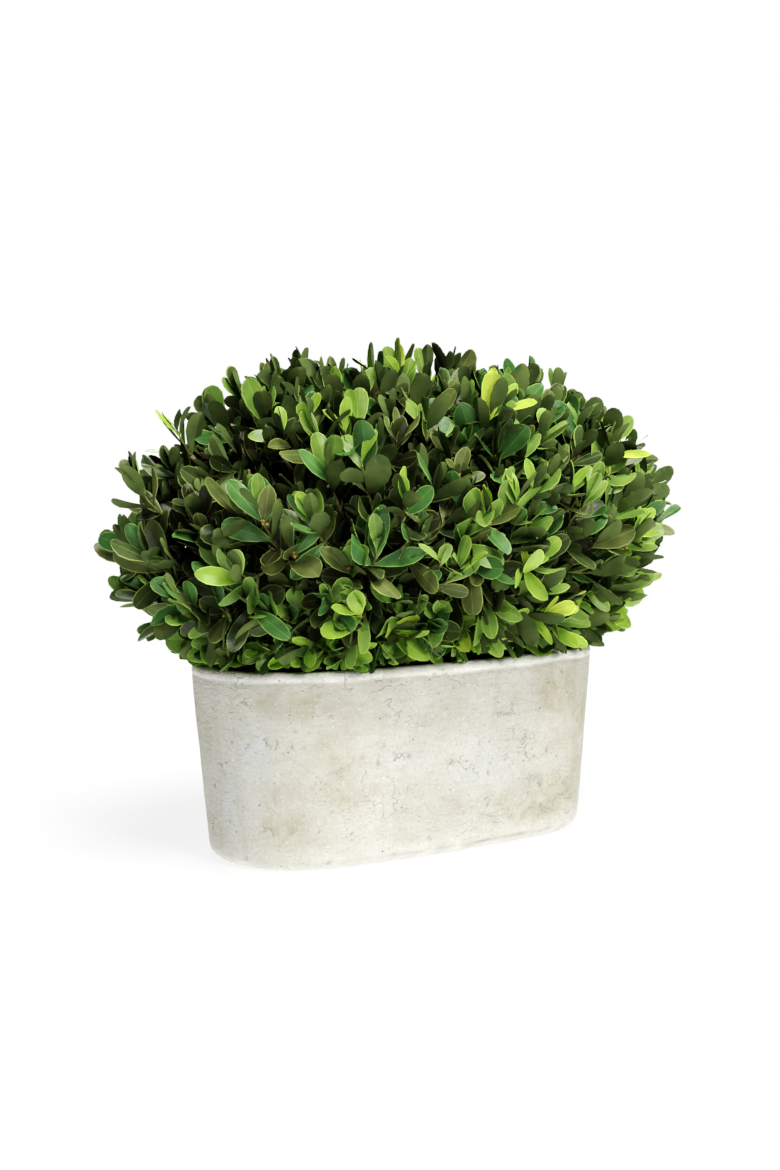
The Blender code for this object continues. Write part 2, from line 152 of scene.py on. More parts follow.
# The masses of foliage lie round a hub on the stem, and start HUB_RADIUS from it. A ring of
# them: how many, spread as a share of the crown's, level, turn.
HUB = np.array((0.0, 0.0, FILL_TOP + 0.030))
HUB_RADIUS = 0.030
LOWER_MASSES = (8, 0.66, 0.136, 0.0)
UPPER_MASSES = (5, 0.53, 0.197, math.radians(20))
TOP_LEVEL = 0.222
SKIRT_LEVEL = CROWN_FOOT + 0.0060
TWIG_ROOT = (0.5, 0.9)

MASSES = (
    [f"foliage_low_{i + 1}" for i in range(LOWER_MASSES[0])]
    + [f"foliage_high_{i + 1}" for i in range(UPPER_MASSES[0])]
    + ["foliage_top"]
)
BOUGHS = [name.replace("foliage", "bough") for name in MASSES]

# Leaf greens, from the darkest: name, colour, share of the leaves.
GREENS = (
    ("dark_olive", (0.024, 0.026, 0.010), 0.14),
    ("deep", (0.040, 0.059, 0.021), 0.19),
    ("olive", (0.092, 0.116, 0.041), 0.12),
    ("emerald", (0.060, 0.138, 0.043), 0.15),
    ("middle", (0.136, 0.236, 0.054), 0.23),
    ("bright", (0.212, 0.372, 0.056), 0.13),
    ("yellow", (0.340, 0.470, 0.064), 0.04),
)
# How rough and how shiny a leaf's skins are.
BLADE_SKIN, LINE_SKIN, UNDER_SKIN = (0.32, 0.22), (0.5, 0.2), (0.65, 0.12)
# A leaf's lines: shares of its own green and of the margin's colour. The margin's pale line is
# partly the leaf's paler edge and partly a painted highlight along it.
MARGIN_AND_HIGHLIGHT_MIX = (1.15, 0.44)
MIDRIB_MIX = (1.05, 0.12)


# Sizes and colours that a user would change.


def number_setting(name, description, default, least=0.0, **more):
    """A number that a user can change, in a unit where more names one."""
    return FloatProperty(
        name=name, description=description, default=default, min=least, precision=5, **more
    )


def whole_setting(name, description, default):
    """A whole number that a user can change."""
    return IntProperty(name=name, description=description, default=default, min=0)


def colour_setting(name, description, default):
    """A colour that a user can change."""
    return FloatVectorProperty(
        name=name, description=description, default=default, subtype="COLOR", min=0.0, max=1.0
    )


class PlanterSettings(bpy.types.PropertyGroup):
    """Sizes and colours of the cement planter and of what fills it."""

    unevenness: number_setting(
        "Unevenness", "How far the cast wall strays from a true oval", 0.00035, unit="LENGTH"
    )
    pits: whole_setting("Pits", "How many small air holes the casting left in the wall", 220)
    pit_depth: number_setting(
        "Pit depth", "Depth of the deepest air holes", 0.0007, unit="LENGTH"
    )
    seed: whole_setting("Seed", "Chooses where the pits and stains lie", 4)
    cement: colour_setting("Cement", "Colour of the clean cement", (0.590, 0.580, 0.512))
    stain: colour_setting("Stain", "Colour of the beige stains", (0.410, 0.380, 0.265))
    cool: colour_setting("Cool patch", "Colour of the greyer patches", (0.59, 0.61, 0.62))
    # This colour is a painted highlight along the rim and painted light along the foot.
    lime: colour_setting(
        "Lime", "Colour of the paler skin at the rim and the foot", (0.88, 0.865, 0.80)
    )
    mix: colour_setting("Potting mix", "Colour of the potting mix", (0.060, 0.038, 0.024))


class CrownSettings(bpy.types.PropertyGroup):
    """Sizes of the leafy shoots and of their leaves."""

    spacing: number_setting(
        "Shoot spacing",
        "Least distance between the tips of two shoots",
        0.0118,
        0.006,
        unit="LENGTH",
    )
    twig_spacing: number_setting(
        "Twig spacing",
        "Least distance between the ends of two twigs that bear shoots",
        0.0230,
        0.015,
        unit="LENGTH",
    )
    leaf_length: number_setting(
        "Leaf length", "Length of a common full-grown leaf", 0.0190, 0.005, unit="LENGTH"
    )
    leaf_width: number_setting(
        "Leaf width", "Greatest width of a leaf as a share of its length", 0.45, 0.2, max=1.0
    )
    leaf_thickness: number_setting(
        "Leaf thickness", "Thickness of a leaf at its midrib", 0.0004, 0.0001, unit="LENGTH"
    )
    upward: number_setting(
        "Upward growth", "How strongly shoots turn up towards the light", 1.50
    )
    seed: whole_setting("Seed", "Chooses how the crown grows", 11)


class ColourSettings(bpy.types.PropertyGroup):
    """Colours of the leaves' lines and undersides, and of the wood."""

    # The pale line round each leaf is partly its paler edge and partly a painted highlight.
    margin: colour_setting(
        "Leaf margin", "Colour of the thin pale line round each leaf", (0.27, 0.37, 0.10)
    )
    underside: colour_setting(
        "Underside", "Colour of the leaves' paler, duller undersides", (0.080, 0.114, 0.040)
    )
    shoot: colour_setting("Shoot", "Colour of the young leafy shoots", (0.16, 0.16, 0.05))
    bark: colour_setting("Bark", "Colour of the stem, boughs and twigs", (0.17, 0.13, 0.07))
    bud: colour_setting("Bud", "Colour of the small flower buds", (0.36, 0.27, 0.08))


class StageSettings(bpy.types.PropertyGroup):
    """Floor, lights and camera."""

    floor: colour_setting("Floor", "Colour of the plain floor", (0.24, 0.24, 0.24))
    floor_glow: number_setting(
        "Floor glow", "Light that the pale floor gives off, as a light table does", 0.72
    )
    floor_bounce: number_setting(
        "Floor bounce", "The share of that light that reaches the plant", 1.12
    )
    surroundings: number_setting(
        "Surroundings", "Light that comes from the white surroundings", 0.01
    )
    key: number_setting(
        "Key light", "Power of the soft light before the planter's long side", 9.5, unit="POWER"
    )
    above: number_setting(
        "Top light", "Power of the soft light above the crown", 31.0, unit="POWER"
    )
    back: number_setting(
        "Back light", "Power of the very large soft light behind", 14.0, unit="POWER"
    )


# Help with meshes.


def unit(vectors):
    """Each vector divided by its length."""
    return vectors / np.maximum(np.linalg.norm(vectors, axis=-1, keepdims=True), 1e-12)


def hump(*pairs):
    """e to the minus sum of some squared distances, each over its own reach."""
    return np.exp(-sum((away / reach) ** 2 for away, reach in pairs))


def mesh_from_arrays(name, points, faces, slots=None, smooth_below=50.0, marks=None):
    """A mesh from an array of points and a list of face arrays, each (faces, corners).

    slots gives, for each face array, its material numbers or one number. Edges sharper than
    smooth_below degrees stay sharp. marks are named numbers for each point, for materials.
    """
    counts = np.concatenate([np.full(len(group), group.shape[1]) for group in faces])
    corners = np.concatenate([group.reshape(-1) for group in faces]).astype(np.int32)
    starts = np.concatenate([[0], np.cumsum(counts)[:-1]]).astype(np.int32)
    mesh = bpy.data.meshes.new(name)
    mesh.vertices.add(len(points))
    mesh.loops.add(len(corners))
    mesh.polygons.add(len(counts))
    mesh.vertices.foreach_set("co", np.ascontiguousarray(points, np.float32).reshape(-1))
    mesh.loops.foreach_set("vertex_index", corners)
    mesh.polygons.foreach_set("loop_start", starts)
    if slots is not None:
        numbers = [np.broadcast_to(slot, len(group)) for slot, group in zip(slots, faces)]
        mesh.polygons.foreach_set("material_index", np.concatenate(numbers).astype(np.int32))
    for mark, values in (marks or {}).items():
        held = mesh.attributes.new(mark, "FLOAT", "POINT")
        held.data.foreach_set("value", np.ascontiguousarray(values, np.float32))
    mesh.update(calc_edges=True)
    mesh.shade_smooth()
    mesh.set_sharp_from_angle(angle=math.radians(smooth_below))
    return mesh


def add_piece(name, mesh, materials, replaced=()):
    """Puts a finished mesh into the scene as a piece that rides with the solids."""
    if not mesh.polygons:
        raise RuntimeError(f"{name} has no faces")
    piece = bpy.data.objects.new(name, mesh)
    bpy.context.scene.collection.objects.link(piece)
    for material in materials:
        mesh.materials.append(material)
    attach(piece, BODY)
    if replaced:
        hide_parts(*replaced)


def ring_faces(rows, columns, first_end=True, last_end=True):
    """Quads between rows of ring points, and triangles from an end row to one point.

    The points run row by row, followed by the first end's point and the last end's.
    """
    row, column = np.meshgrid(np.arange(rows - 1), np.arange(columns), indexing="ij")
    after = (column + 1) % columns
    corners = [row * columns + column, row * columns + after]
    corners += [(row + 1) * columns + after, (row + 1) * columns + column]
    quads = np.stack(corners, axis=-1).reshape(-1, 4)
    here = np.arange(columns)
    beyond = (here + 1) % columns
    caps, point = [], rows * columns
    if first_end:
        caps.append(np.stack([np.full(columns, point), beyond, here], axis=-1))
        point += 1
    if last_end:
        last = (rows - 1) * columns
        caps.append(np.stack([np.full(columns, point), last + here, last + beyond], axis=-1))
    return quads, np.concatenate(caps)


def tubes(lines, radii, sides, relief=None):
    """Points and faces of closed round tubes.

    A ring point is the line's point plus the radius times cos a across and sin a up, where
    both ways are square to the line. Each end closes in a low dome to one point. lines is
    (tubes, steps, 3), radii (tubes, steps), and relief, where given, a factor on the radius
    for each (tubes, steps, sides).
    """
    count, steps, _ = lines.shape
    ways = unit(np.gradient(lines, axis=1))
    upright = np.abs(ways[:, :1, 2:3]) < 0.9
    reference = np.where(upright, UP, np.array((1.0, 0.0, 0.0)))
    across = unit(np.cross(ways, reference))
    rising = np.cross(ways, across)
    angle = np.arange(sides) / sides * math.tau
    out = np.cos(angle)[:, None] * across[:, :, None] + np.sin(angle)[:, None] * rising[:, :, None]
    reach = np.broadcast_to(radii[:, :, None], (count, steps, sides))
    if relief is not None:
        reach = reach * relief
    rings = lines[:, :, None] + reach[..., None] * out
    first = lines[:, :1] - ways[:, :1] * radii[:, :1, None] * 0.5
    last = lines[:, -1:] + ways[:, -1:] * radii[:, -1:, None] * 0.8
    points = np.concatenate([rings.reshape(count, -1, 3), first, last], axis=1)
    quads, caps = ring_faces(steps, sides)
    offset = (np.arange(count) * points.shape[1])[:, None, None]
    return points.reshape(-1, 3), [(quads + offset).reshape(-1, 4), (caps + offset).reshape(-1, 3)]


def bent_lines(start, start_way, end, end_way, shares):
    """Points on cubic curves, and the ways that they run there.

    A curve leaves start along start_way and reaches end along end_way, with its two middle
    control points a third of the distance from each end. shares is (curves, points), from 0
    at the start to 1 at the end.
    """
    reach = np.linalg.norm(end - start, axis=-1, keepdims=True) / 3
    first = (start + start_way * reach)[:, None]
    second = (end - end_way * reach)[:, None]
    start, end = start[:, None], end[:, None]
    t = shares[..., None]
    places = start * (1 - t) ** 3 + first * 3 * t * (1 - t) ** 2
    places = places + second * 3 * t**2 * (1 - t) + end * t**3
    ways = (first - start) * (1 - t) ** 2 + (second - first) * 2 * t * (1 - t)
    ways = ways + (end - second) * t**2
    return places, unit(ways)


def even_steps(curves, steps):
    """Shares from 0 to 1 in even steps, for each of some curves."""
    return np.broadcast_to(np.linspace(0, 1, steps), (curves, steps))


def tapering(lines, first, last):
    """Radii that change evenly along each of some lines, from first to last."""
    return np.broadcast_to(np.linspace(first, last, lines.shape[1]), lines.shape[:2])


def lattice_noise(u, v, columns, rows, chance):
    """Smooth noise from -1 to 1 on a grid: random heights at the corners of columns by rows
    cells, blended by the smooth step 3t^2 - 2t^3. u and v run from 0 to 1, and u wraps round.
    """
    heights = chance.uniform(-1, 1, (columns, rows + 2))
    x, y = u * columns, v * rows
    i, j = np.floor(x).astype(int), np.floor(y).astype(int)
    a, b = x - i, y - j
    a, b = a * a * (3 - 2 * a), b * b * (3 - 2 * b)
    i, after = i % columns, (i + 1) % columns
    low = heights[i, j] * (1 - a) + heights[after, j] * a
    high = heights[i, j + 1] * (1 - a) + heights[after, j + 1] * a
    return low * (1 - b) + high * b


# Materials.


def new_material(name, roughness, specular):
    """A material with its node tree and its shader. specular is how strongly it shines."""
    material = bpy.data.materials.new(name)
    material.use_nodes = True
    shader = material.node_tree.nodes["Principled BSDF"]
    shader.inputs["Roughness"].default_value = roughness
    shader.inputs["Specular IOR Level"].default_value = specular
    shader.inputs["Metallic"].default_value = 0.0
    return material, material.node_tree, shader


def give(tree, socket, value):
    """Sets a socket to a plain value, or links it where the value is a socket itself."""
    if isinstance(value, bpy.types.NodeSocket):
        tree.links.new(value, socket)
    else:
        socket.default_value = value


def add_node(tree, kind, **values):
    """A node of some kind. Each of its inputs that is named is given its value."""
    node = tree.nodes.new(kind)
    for name, value in values.items():
        give(tree, node.inputs[name.replace("_", " ")], value)
    return node


def object_place(tree):
    """The piece's own coordinates."""
    return add_node(tree, "ShaderNodeTexCoord").outputs["Object"]


def attribute(tree, name):
    """A number that the mesh holds at each point."""
    node = add_node(tree, "ShaderNodeAttribute")
    node.attribute_name = name
    return node.outputs["Fac"]


def noise(tree, scale, detail=3.0, roughness=0.5, distortion=0.0, stretch=(1.0, 1.0, 1.0)):
    """A noise texture on the piece's own coordinates, as a number."""
    mapping = add_node(tree, "ShaderNodeMapping", Vector=object_place(tree), Scale=stretch)
    texture = add_node(
        tree,
        "ShaderNodeTexNoise",
        Vector=mapping.outputs["Vector"],
        Scale=scale,
        Detail=detail,
        Roughness=roughness,
        Distortion=distortion,
    )
    return texture.outputs["Fac"]


def ramp(tree, value, low, high, out_low=0.0, out_high=1.0):
    """value between low and high, laid evenly onto out_low to out_high and held there."""
    ends = {"From_Min": low, "From_Max": high, "To_Min": out_low, "To_Max": out_high}
    return add_node(tree, "ShaderNodeMapRange", Value=value, **ends).outputs["Result"]


def maths(tree, operation, first, second=0.0):
    """One operation of arithmetic on two numbers, plain or linked."""
    node = add_node(tree, "ShaderNodeMath")
    node.operation = operation
    for socket, value in zip(node.inputs, (first, second)):
        give(tree, socket, value)
    return node.outputs["Value"]


def product(tree, first, second):
    """Two numbers multiplied."""
    return maths(tree, "MULTIPLY", first, second)


def shade(colour, factor):
    """A colour times a factor, or times one for each of its channels, and no more than 1."""
    return tuple(np.minimum(np.array(colour) * factor, 1).tolist())


def blend(tree, share, first, second):
    """The colour first, turned into second as share goes from 0 to 1, both plain or linked."""
    node = add_node(tree, "ShaderNodeMix")
    node.data_type = "RGBA"
    sockets = [s for s in node.inputs if s.type == "RGBA"]
    for socket, colour in zip(sockets, (first, second)):
        linked = isinstance(colour, bpy.types.NodeSocket)
        give(tree, socket, colour if linked else (*colour, 1.0))
    give(tree, node.inputs["Factor"], share)
    return next(s for s in node.outputs if s.type == "RGBA")


def paint(tree, shader, share, first, second):
    """Gives a shader the colour first, turned into second as share goes from 0 to 1."""
    tree.links.new(blend(tree, share, first, second), shader.inputs["Base Color"])


def bump(tree, shader, height, strength, distance):
    """Gives a shader relief, over the relief that it already has."""
    node = add_node(tree, "ShaderNodeBump", Height=height, Strength=strength, Distance=distance)
    for link in shader.inputs["Normal"].links:
        tree.links.new(link.from_socket, node.inputs["Normal"])
    tree.links.new(node.outputs["Normal"], shader.inputs["Normal"])


def blade_material(name, colour, roughness, specular):
    """A leaf's skin: its green drifts a little darker and lighter, and it is faintly uneven."""
    material, tree, shader = new_material(name, roughness, specular)
    drift = ramp(tree, noise(tree, 70.0, 2.0), 0.36, 0.64)
    paint(tree, shader, drift, shade(colour, 0.74), shade(colour, (1.30, 1.20, 1.15)))
    gloss = ramp(tree, noise(tree, 240.0, 2.0), 0.3, 0.7, roughness - 0.07, roughness + 0.10)
    tree.links.new(gloss, shader.inputs["Roughness"])
    bump(tree, shader, noise(tree, 520.0, 2.0), 0.25, 0.0004)
    return material


def wood_material(name, colour, stretch=(1.0, 1.0, 1.0)):
    """Bark: fine streaks and flecks, darker in its cracks as painted shade."""
    material, tree, shader = new_material(name, 0.85, 0.25)
    streaks = noise(tree, 420.0, 4.0, 0.6, 0.4, stretch)
    tone = ramp(tree, streaks, 0.3, 0.7)
    paint(tree, shader, tone, shade(colour, 0.55), shade(colour, 1.35))
    bump(tree, shader, streaks, 0.6, 0.0006)
    return material


def mix_material(colour):
    """Potting mix: crumbs, pale on top as painted light and dark between as painted shade."""
    material, tree, shader = new_material("Potting mix", 0.95, 0.2)
    crumbs = noise(tree, 330.0, 5.0, 0.7)
    tone = ramp(tree, crumbs, 0.35, 0.65)
    paint(tree, shader, tone, shade(colour, 0.5), shade(colour, 2.1))
    bump(tree, shader, crumbs, 0.8, 0.0015)
    return material


def bud_material(colour):
    """Buds: dull, flecked with a darker tone."""
    material, tree, shader = new_material("Bud", 0.6, 0.3)
    tone = ramp(tree, noise(tree, 600.0, 2.0), 0.35, 0.65)
    paint(tree, shader, tone, shade(colour, 0.5), colour)
    return material


def hairlines(tree, scale, width, stretch=(1.0, 1.0, 1.0)):
    """Fine wandering lines, 1 in their middle: where a distorted noise passes its middle value."""
    pattern = noise(tree, scale, 3.0, 0.6, 0.3, stretch)
    away = maths(tree, "ABSOLUTE", maths(tree, "SUBTRACT", pattern, 0.5))
    return ramp(tree, away, width, width * 0.3)


def pinholes(tree, scale, share, reach):
    """Round spots, 1 in their middle: one in a share of the cells of a random pattern."""
    # The margin's colour is partly the leaf's paler edge and partly a painted highlight.
    cells = add_node(tree, "ShaderNodeTexVoronoi", Vector=object_place(tree), Scale=scale)
    split = add_node(tree, "ShaderNodeSeparateColor", Color=cells.outputs["Color"])
    chosen = ramp(tree, split.outputs["Red"], 1 - share, 1 - share + 0.01)
    near = ramp(tree, cells.outputs["Distance"], reach, reach * 0.4)
    return product(tree, chosen, near)


def cement_material(settings):
    """Cast cement: cream ground, beige stains and cooler patches where the mesh says so, a
    painted highlight along the rim and painted light along the foot, pin holes with painted
    shade in them, hairlines, smears, fine grain, and painted shade in its dents, scratches,
    pits and lines.
    """
    material, tree, shader = new_material("Cast cement", 0.84, 0.22)
    ground, stain = settings.cement, settings.stain
    cloud = ramp(tree, noise(tree, 30.0, 6.0, 0.62, 0.5), 0.36, 0.64)
    tint = blend(tree, cloud, shade(ground, (0.905, 0.910, 0.875)), shade(ground, 1.04))
    patchy = ramp(tree, noise(tree, 75.0, 6.0, 0.70, 0.8), 0.34, 0.60, 0.38, 1.0)
    for mark, colour in (("cool", settings.cool), ("stain", stain)):
        tint = blend(tree, product(tree, attribute(tree, mark), patchy), tint, colour)
    # Small mottles, smeared level, and faint upright runs.
    mottle = noise(tree, 110.0, 6.0, 0.72, 1.0, (1.0, 1.0, 1.8))
    tint = blend(tree, ramp(tree, mottle, 0.50, 0.68, 0.0, 0.42), tint, shade(stain, 1.12))
    runs = noise(tree, 90.0, 3.0, 0.5, 0.2, (1.0, 1.0, 0.10))
    tint = blend(tree, ramp(tree, runs, 0.58, 0.70, 0.0, 0.20), tint, shade(stain, 0.80))
    # Painted highlight along the rim and painted light along the foot.
    tint = blend(tree, attribute(tree, "lime"), tint, settings.lime)
    # Dark and pale grains.
    grain = noise(tree, 700.0, 4.0, 0.75)
    tint = blend(tree, ramp(tree, grain, 0.57, 0.70, 0.0, 0.60), tint, shade(stain, 0.62))
    tint = blend(tree, ramp(tree, grain, 0.42, 0.30, 0.0, 0.50), tint, (0.96, 0.95, 0.90))
    # Pin holes with painted shade in them, hairlines where the skin is worn, and the painted shade
    # in the dents, scratches, pits and lines.
    holes = pinholes(tree, 210.0, 0.26, 0.12)
    small = pinholes(tree, 430.0, 0.30, 0.16)
    worn = ramp(tree, noise(tree, 38.0, 3.0, 0.5), 0.52, 0.62)
    cracks = product(tree, hairlines(tree, 42.0, 0.007, (1.0, 1.0, 1.5)), worn)
    for cut, share, dark in ((holes, 0.85, 0.28), (small, 0.70, 0.28), (cracks, 0.45, 0.50)):
        tint = blend(tree, product(tree, cut, share), tint, shade(stain, dark))
    # Painted shade in the dents, scratches, pits and lines, as the mesh marks it.
    paint(tree, shader, attribute(tree, "dirt"), tint, shade(stain, 0.36))
    # Relief: scuffs, then grain, with the holes and hairlines cut in.
    scuffs = noise(tree, 130.0, 6.0, 0.68, 1.2, (1.0, 1.0, 2.0))
    cut = maths(tree, "MAXIMUM", maths(tree, "MAXIMUM", holes, small), cracks)
    height = maths(tree, "SUBTRACT", scuffs, product(tree, cut, 0.5))
    bump(tree, shader, height, 0.75, 0.0016)
    bump(tree, shader, grain, 0.5, 0.0006)
    return material


# The planter's oval, and the crown's ellipsoid.


def oval_frame(columns):
    """Round the planter's oval at an even pace: arc centre, arc radius and way out for each
    column. The two end arcs and the two side arcs meet where they have the same direction.
    """
    end = 2 * ARCS_MEET * POT_END_RADIUS
    side = (math.pi - 2 * ARCS_MEET) * SIDE_RADIUS
    walk = np.arange(columns) / columns * 2 * (end + side)
    half, rest = np.divmod(walk, end + side)
    on_end = rest < end
    angle = np.where(
        on_end, -ARCS_MEET + rest / POT_END_RADIUS, ARCS_MEET + (rest - end) / SIDE_RADIUS
    )
    angle = angle + half * math.pi
    flip = 1 - 2 * half
    centre = np.stack(
        [np.where(on_end, END_CENTRE, 0.0) * flip, np.where(on_end, 0.0, -SIDE_CENTRE) * flip],
        axis=-1,
    )
    radius = np.where(on_end, POT_END_RADIUS, SIDE_RADIUS)
    way = np.stack([np.cos(angle), np.sin(angle)], axis=-1)
    return centre, radius, way


def half_height(level):
    """The crown's half height: one above its middle and another below it."""
    return np.where(level > CROWN_MIDDLE, CROWN_UP, CROWN_DOWN)


def crown_share(points):
    """How far out points lie, from 0 in the crown's middle to 1 on its outline."""
    x, y, z = np.moveaxis(points, -1, 0)
    return np.sqrt(
        (x / CROWN_HALF_LENGTH) ** 2
        + (y / CROWN_HALF_WIDTH) ** 2
        + ((z - CROWN_MIDDLE) / half_height(z)) ** 2
    )


def outside_rim(points):
    """How far outside the rim's outline points lie, seen from above, less than 0 inside it."""
    x, y = np.abs(points[..., 0]), np.abs(points[..., 1])
    by_end = np.hypot(x - END_CENTRE, y) - POT_END_RADIUS
    by_side = np.hypot(x, y + SIDE_CENTRE) - SIDE_RADIUS
    return np.where(np.arctan2(y, x - END_CENTRE) < ARCS_MEET, by_end, by_side)


def outward_ways(places):
    """The ways square to the crown's outline: each coordinate over its half size squared."""
    x, y, z = places.T
    rising = (z - CROWN_MIDDLE) / half_height(z) ** 2
    return unit(np.stack([x / CROWN_HALF_LENGTH**2, y / CROWN_HALF_WIDTH**2, rising], axis=-1))


def ring_of_places(count, spread, level, turn):
    """Places round an ellipse in the crown's proportions, an equal walk apart."""
    angle = turn + np.linspace(0, math.tau, 721)
    x = CROWN_HALF_LENGTH * spread * np.cos(angle)
    y = CROWN_HALF_WIDTH * spread * np.sin(angle)
    outline = np.stack([x, y, np.full(len(angle), level)], axis=-1)
    walked = np.concatenate([[0.0], np.cumsum(np.linalg.norm(np.diff(outline, axis=0), axis=1))])
    return outline[np.searchsorted(walked, walked[-1] * np.arange(count) / count)]


def tip_places(spacing, skirt, candidates, seed):
    """Places on the crown's outline: a low ring of them, and others tried in a shuffled order
    from an even spiral over the ellipsoid, each kept if it lies spacing or more from the rest.
    """
    index = np.arange(candidates)
    height = 1 - 2 * (index + 0.5) / candidates
    ring = np.sqrt(1 - height**2)
    turn = math.pi * (3 - math.sqrt(5)) * index
    upright = np.where(height > 0, CROWN_UP, CROWN_DOWN)
    x = CROWN_HALF_LENGTH * ring * np.cos(turn)
    y = CROWN_HALF_WIDTH * ring * np.sin(turn)
    places = np.stack([x, y, CROWN_MIDDLE + upright * height], axis=-1)
    places = places[places[:, 2] > SKIRT_LEVEL]
    order = list(range(len(places)))
    random.Random(seed).shuffle(order)
    skirt_spread = math.sqrt(1 - ((SKIRT_LEVEL - CROWN_MIDDLE) / CROWN_DOWN) ** 2)
    low_ring = ring_of_places(skirt, skirt_spread, SKIRT_LEVEL, 0.0)
    kept = np.concatenate([low_ring, np.zeros_like(places)])
    count = len(low_ring)
    for i in order:
        if np.linalg.norm(kept[:count] - places[i], axis=1).min() > spacing:
            kept[count] = places[i]
            count += 1
    return kept[:count]


# How the crown grows, by the rule of the solids, carried on to finer twigs.

# Rows of low shoots along the rim: how far beyond its edge and above it, and how steeply up.
# Then a row's length, and how far its shoots stray out and up.
RIM_ROWS = (
    (-0.017, 0.0035, 0.60),
    (-0.010, 0.0032, 0.22),
    (-0.005, 0.0044, 0.02),
    (0.001, 0.0072, 0.03),
    (0.010, 0.0145, 0.22),
)
RIM_ROW_LENGTH = 0.62
RIM_STRAY_OUT, RIM_STRAY_UP = 0.002, 0.0012


def rim_places(spacing, chance):
    """Places for the lowest shoots, that lie out over the planter's rim, with the ways out there.

    They follow the rim's oval in rows.
    """
    places, ways = [], []
    number = int(RIM_ROW_LENGTH / spacing)
    centre, radius, way = oval_frame(number)
    for beyond, height, rise in RIM_ROWS:
        out = radius + beyond + chance.normal(0, RIM_STRAY_OUT, number)
        level = POT_HEIGHT + height + chance.normal(0, RIM_STRAY_UP, number)
        places.append(np.concatenate([centre + out[:, None] * way, level[:, None]], axis=1))
        ways.append(np.concatenate([way, np.full((number, 1), rise)], axis=1))
    return np.concatenate(places), unit(np.concatenate(ways))


def leant(places):
    """Places with the crown's lean: it stands higher on the photograph's right than on its left.

    The height changes by CROWN_LEAN times the way along LEAN_WAY, and not at the rim.
    """
    share = np.clip((places[:, 2] - CROWN_FOOT) / LEAN_FULL, 0, 1)
    return places + UP * (CROWN_LEAN * share * (places[:, :2] @ LEAN_WAY))[:, None]


def unleant(places):
    """Places with the crown's lean taken off again."""
    flat = places.reshape(-1, 3)
    return (flat - (leant(flat) - flat)).reshape(places.shape)


def patches(places, marks):
    """The sum of some marks' amounts at places: each amount times the hump of the distance
    between the ways out from the crown's middle.
    """
    ways = unit(places - CROWN_CENTRE)
    total = np.zeros(places.shape[:-1])
    for way, reach, amount in marks:
        apart = np.linalg.norm(ways - unit(np.array(way)), axis=-1)
        total += amount * hump((apart, reach))
    return total


def swell(places):
    """How much farther out the crown grows in some ways than its ellipsoid, as a share of it."""
    return patches(places, CROWN_SWELLS)


def clumps(places, chance):
    """Smooth swells over the crown, mostly between -1 and 1: six sines along chance ways, each
    45 to 85 mm long, added and divided by 3.
    """
    waves = unit(chance.normal(0, 1, (6, 3))) * (math.tau / chance.uniform(0.045, 0.085, (6, 1)))
    return np.sin(places @ waves.T + chance.uniform(0, math.tau, 6)).sum(axis=1) / 3


def mass_plan():
    """Middles, ways out from the hub and gates of the masses: lower ring, upper ring, top."""
    lower, upper = ring_of_places(*LOWER_MASSES), ring_of_places(*UPPER_MASSES)
    middles = np.concatenate([lower, upper, [(0.0, 0.0, TOP_LEVEL)]])
    ways = unit(middles - HUB)
    return middles, ways, HUB + ways * HUB_RADIUS


def turned(vectors, axes, angles):
    """vectors turned about unit axes: v cos a + (axis x v) sin a + axis (axis . v)(1 - cos a)."""
    angles = angles[..., None]
    along = (axes * vectors).sum(-1, keepdims=True)
    return (
        vectors * np.cos(angles)
        + np.cross(axes, vectors) * np.sin(angles)
        + axes * along * (1 - np.cos(angles))
    )


# Twigs: how many end in the low ring, how many places are tried for the rest, how far out
# they end as a share of the crown, their radius at the root and at the end, how much they
# rise at the end, and how far they stray.
LOW_RING_TWIGS = 25
TWIG_TRIALS = 5000
TWIG_ENDS = (0.78, 0.84)
TWIG_RADII = (0.0013, 0.0008)
TWIG_RISE, TWIG_STRAY = 0.35, 0.15

# Shoots, likewise. A share of them stays inside and another stands out, each by a step in
# the crown's share, and the tallest of these have larger leaves. Clumps of them reach
# farther out, and where a clump is sparse more of them stay inside.
SHOOT_TRIALS = 30000
SHOOT_ENDS = (0.885, 0.965)
SHOOT_RADII = (0.00075, 0.00045)
SHOOT_FORKS = (0.45, 0.92)
SHOOT_STRAY = 0.17
CLUMP_REACH = 0.026
SPARSE_BELOW, SPARSE_KIND = -0.58, 0.33
RIM_KIND = 0.5
INNER_BELOW, INNER_STEP = 0.30, 0.16
OUTER_ABOVE, OUTER_STEP = 0.80, 0.085
TALL_ABOVE, TALL_GROWTH = 0.93, 0.18
# A shoot's way is partly square to the crown's outline and partly away from the stem, and
# turns towards the crown's long ends.
OUTLINE_SHARE = 0.45
END_TURN = (1.30, 0.72, 1.0)
TOP_LEAF_REACH = 0.70
# The share of a shoot's leaves that have to stay clear, or else it goes with them. It is
# less over the rim.
LEAST_LEAVES, LEAST_RIM_LEAVES = 0.66, 0.40
OLD_PAIR_CHANCE, BUD_CHANCE = 0.5, 0.16

# Along a shoot, from its tip: where its pairs of leaves stand, how long their leaves are as a
# share of a full-grown one, how far they lean out, and how much brighter they are.
PAIR_PLACES = np.array((0.0004, 0.0045, 0.0102, 0.0168, 0.0240))
PAIR_LENGTHS = np.array((0.78, 0.98, 1.05, 1.03, 0.98))
PAIR_LEANS = np.radians((16.0, 27.0, 35.0, 42.0, 50.0))
PAIR_TONES = np.array((0.35, 0.15, -0.05, -0.2, -0.3))
# How far shoots stretch the pairs' places, and how far places, turns and leans stray.
PAIR_STRETCH = (0.8, 1.25)
PLACE_STRAY, TURN_STRAY, LEAN_STRAY = 0.0005, 0.15, math.radians(10)
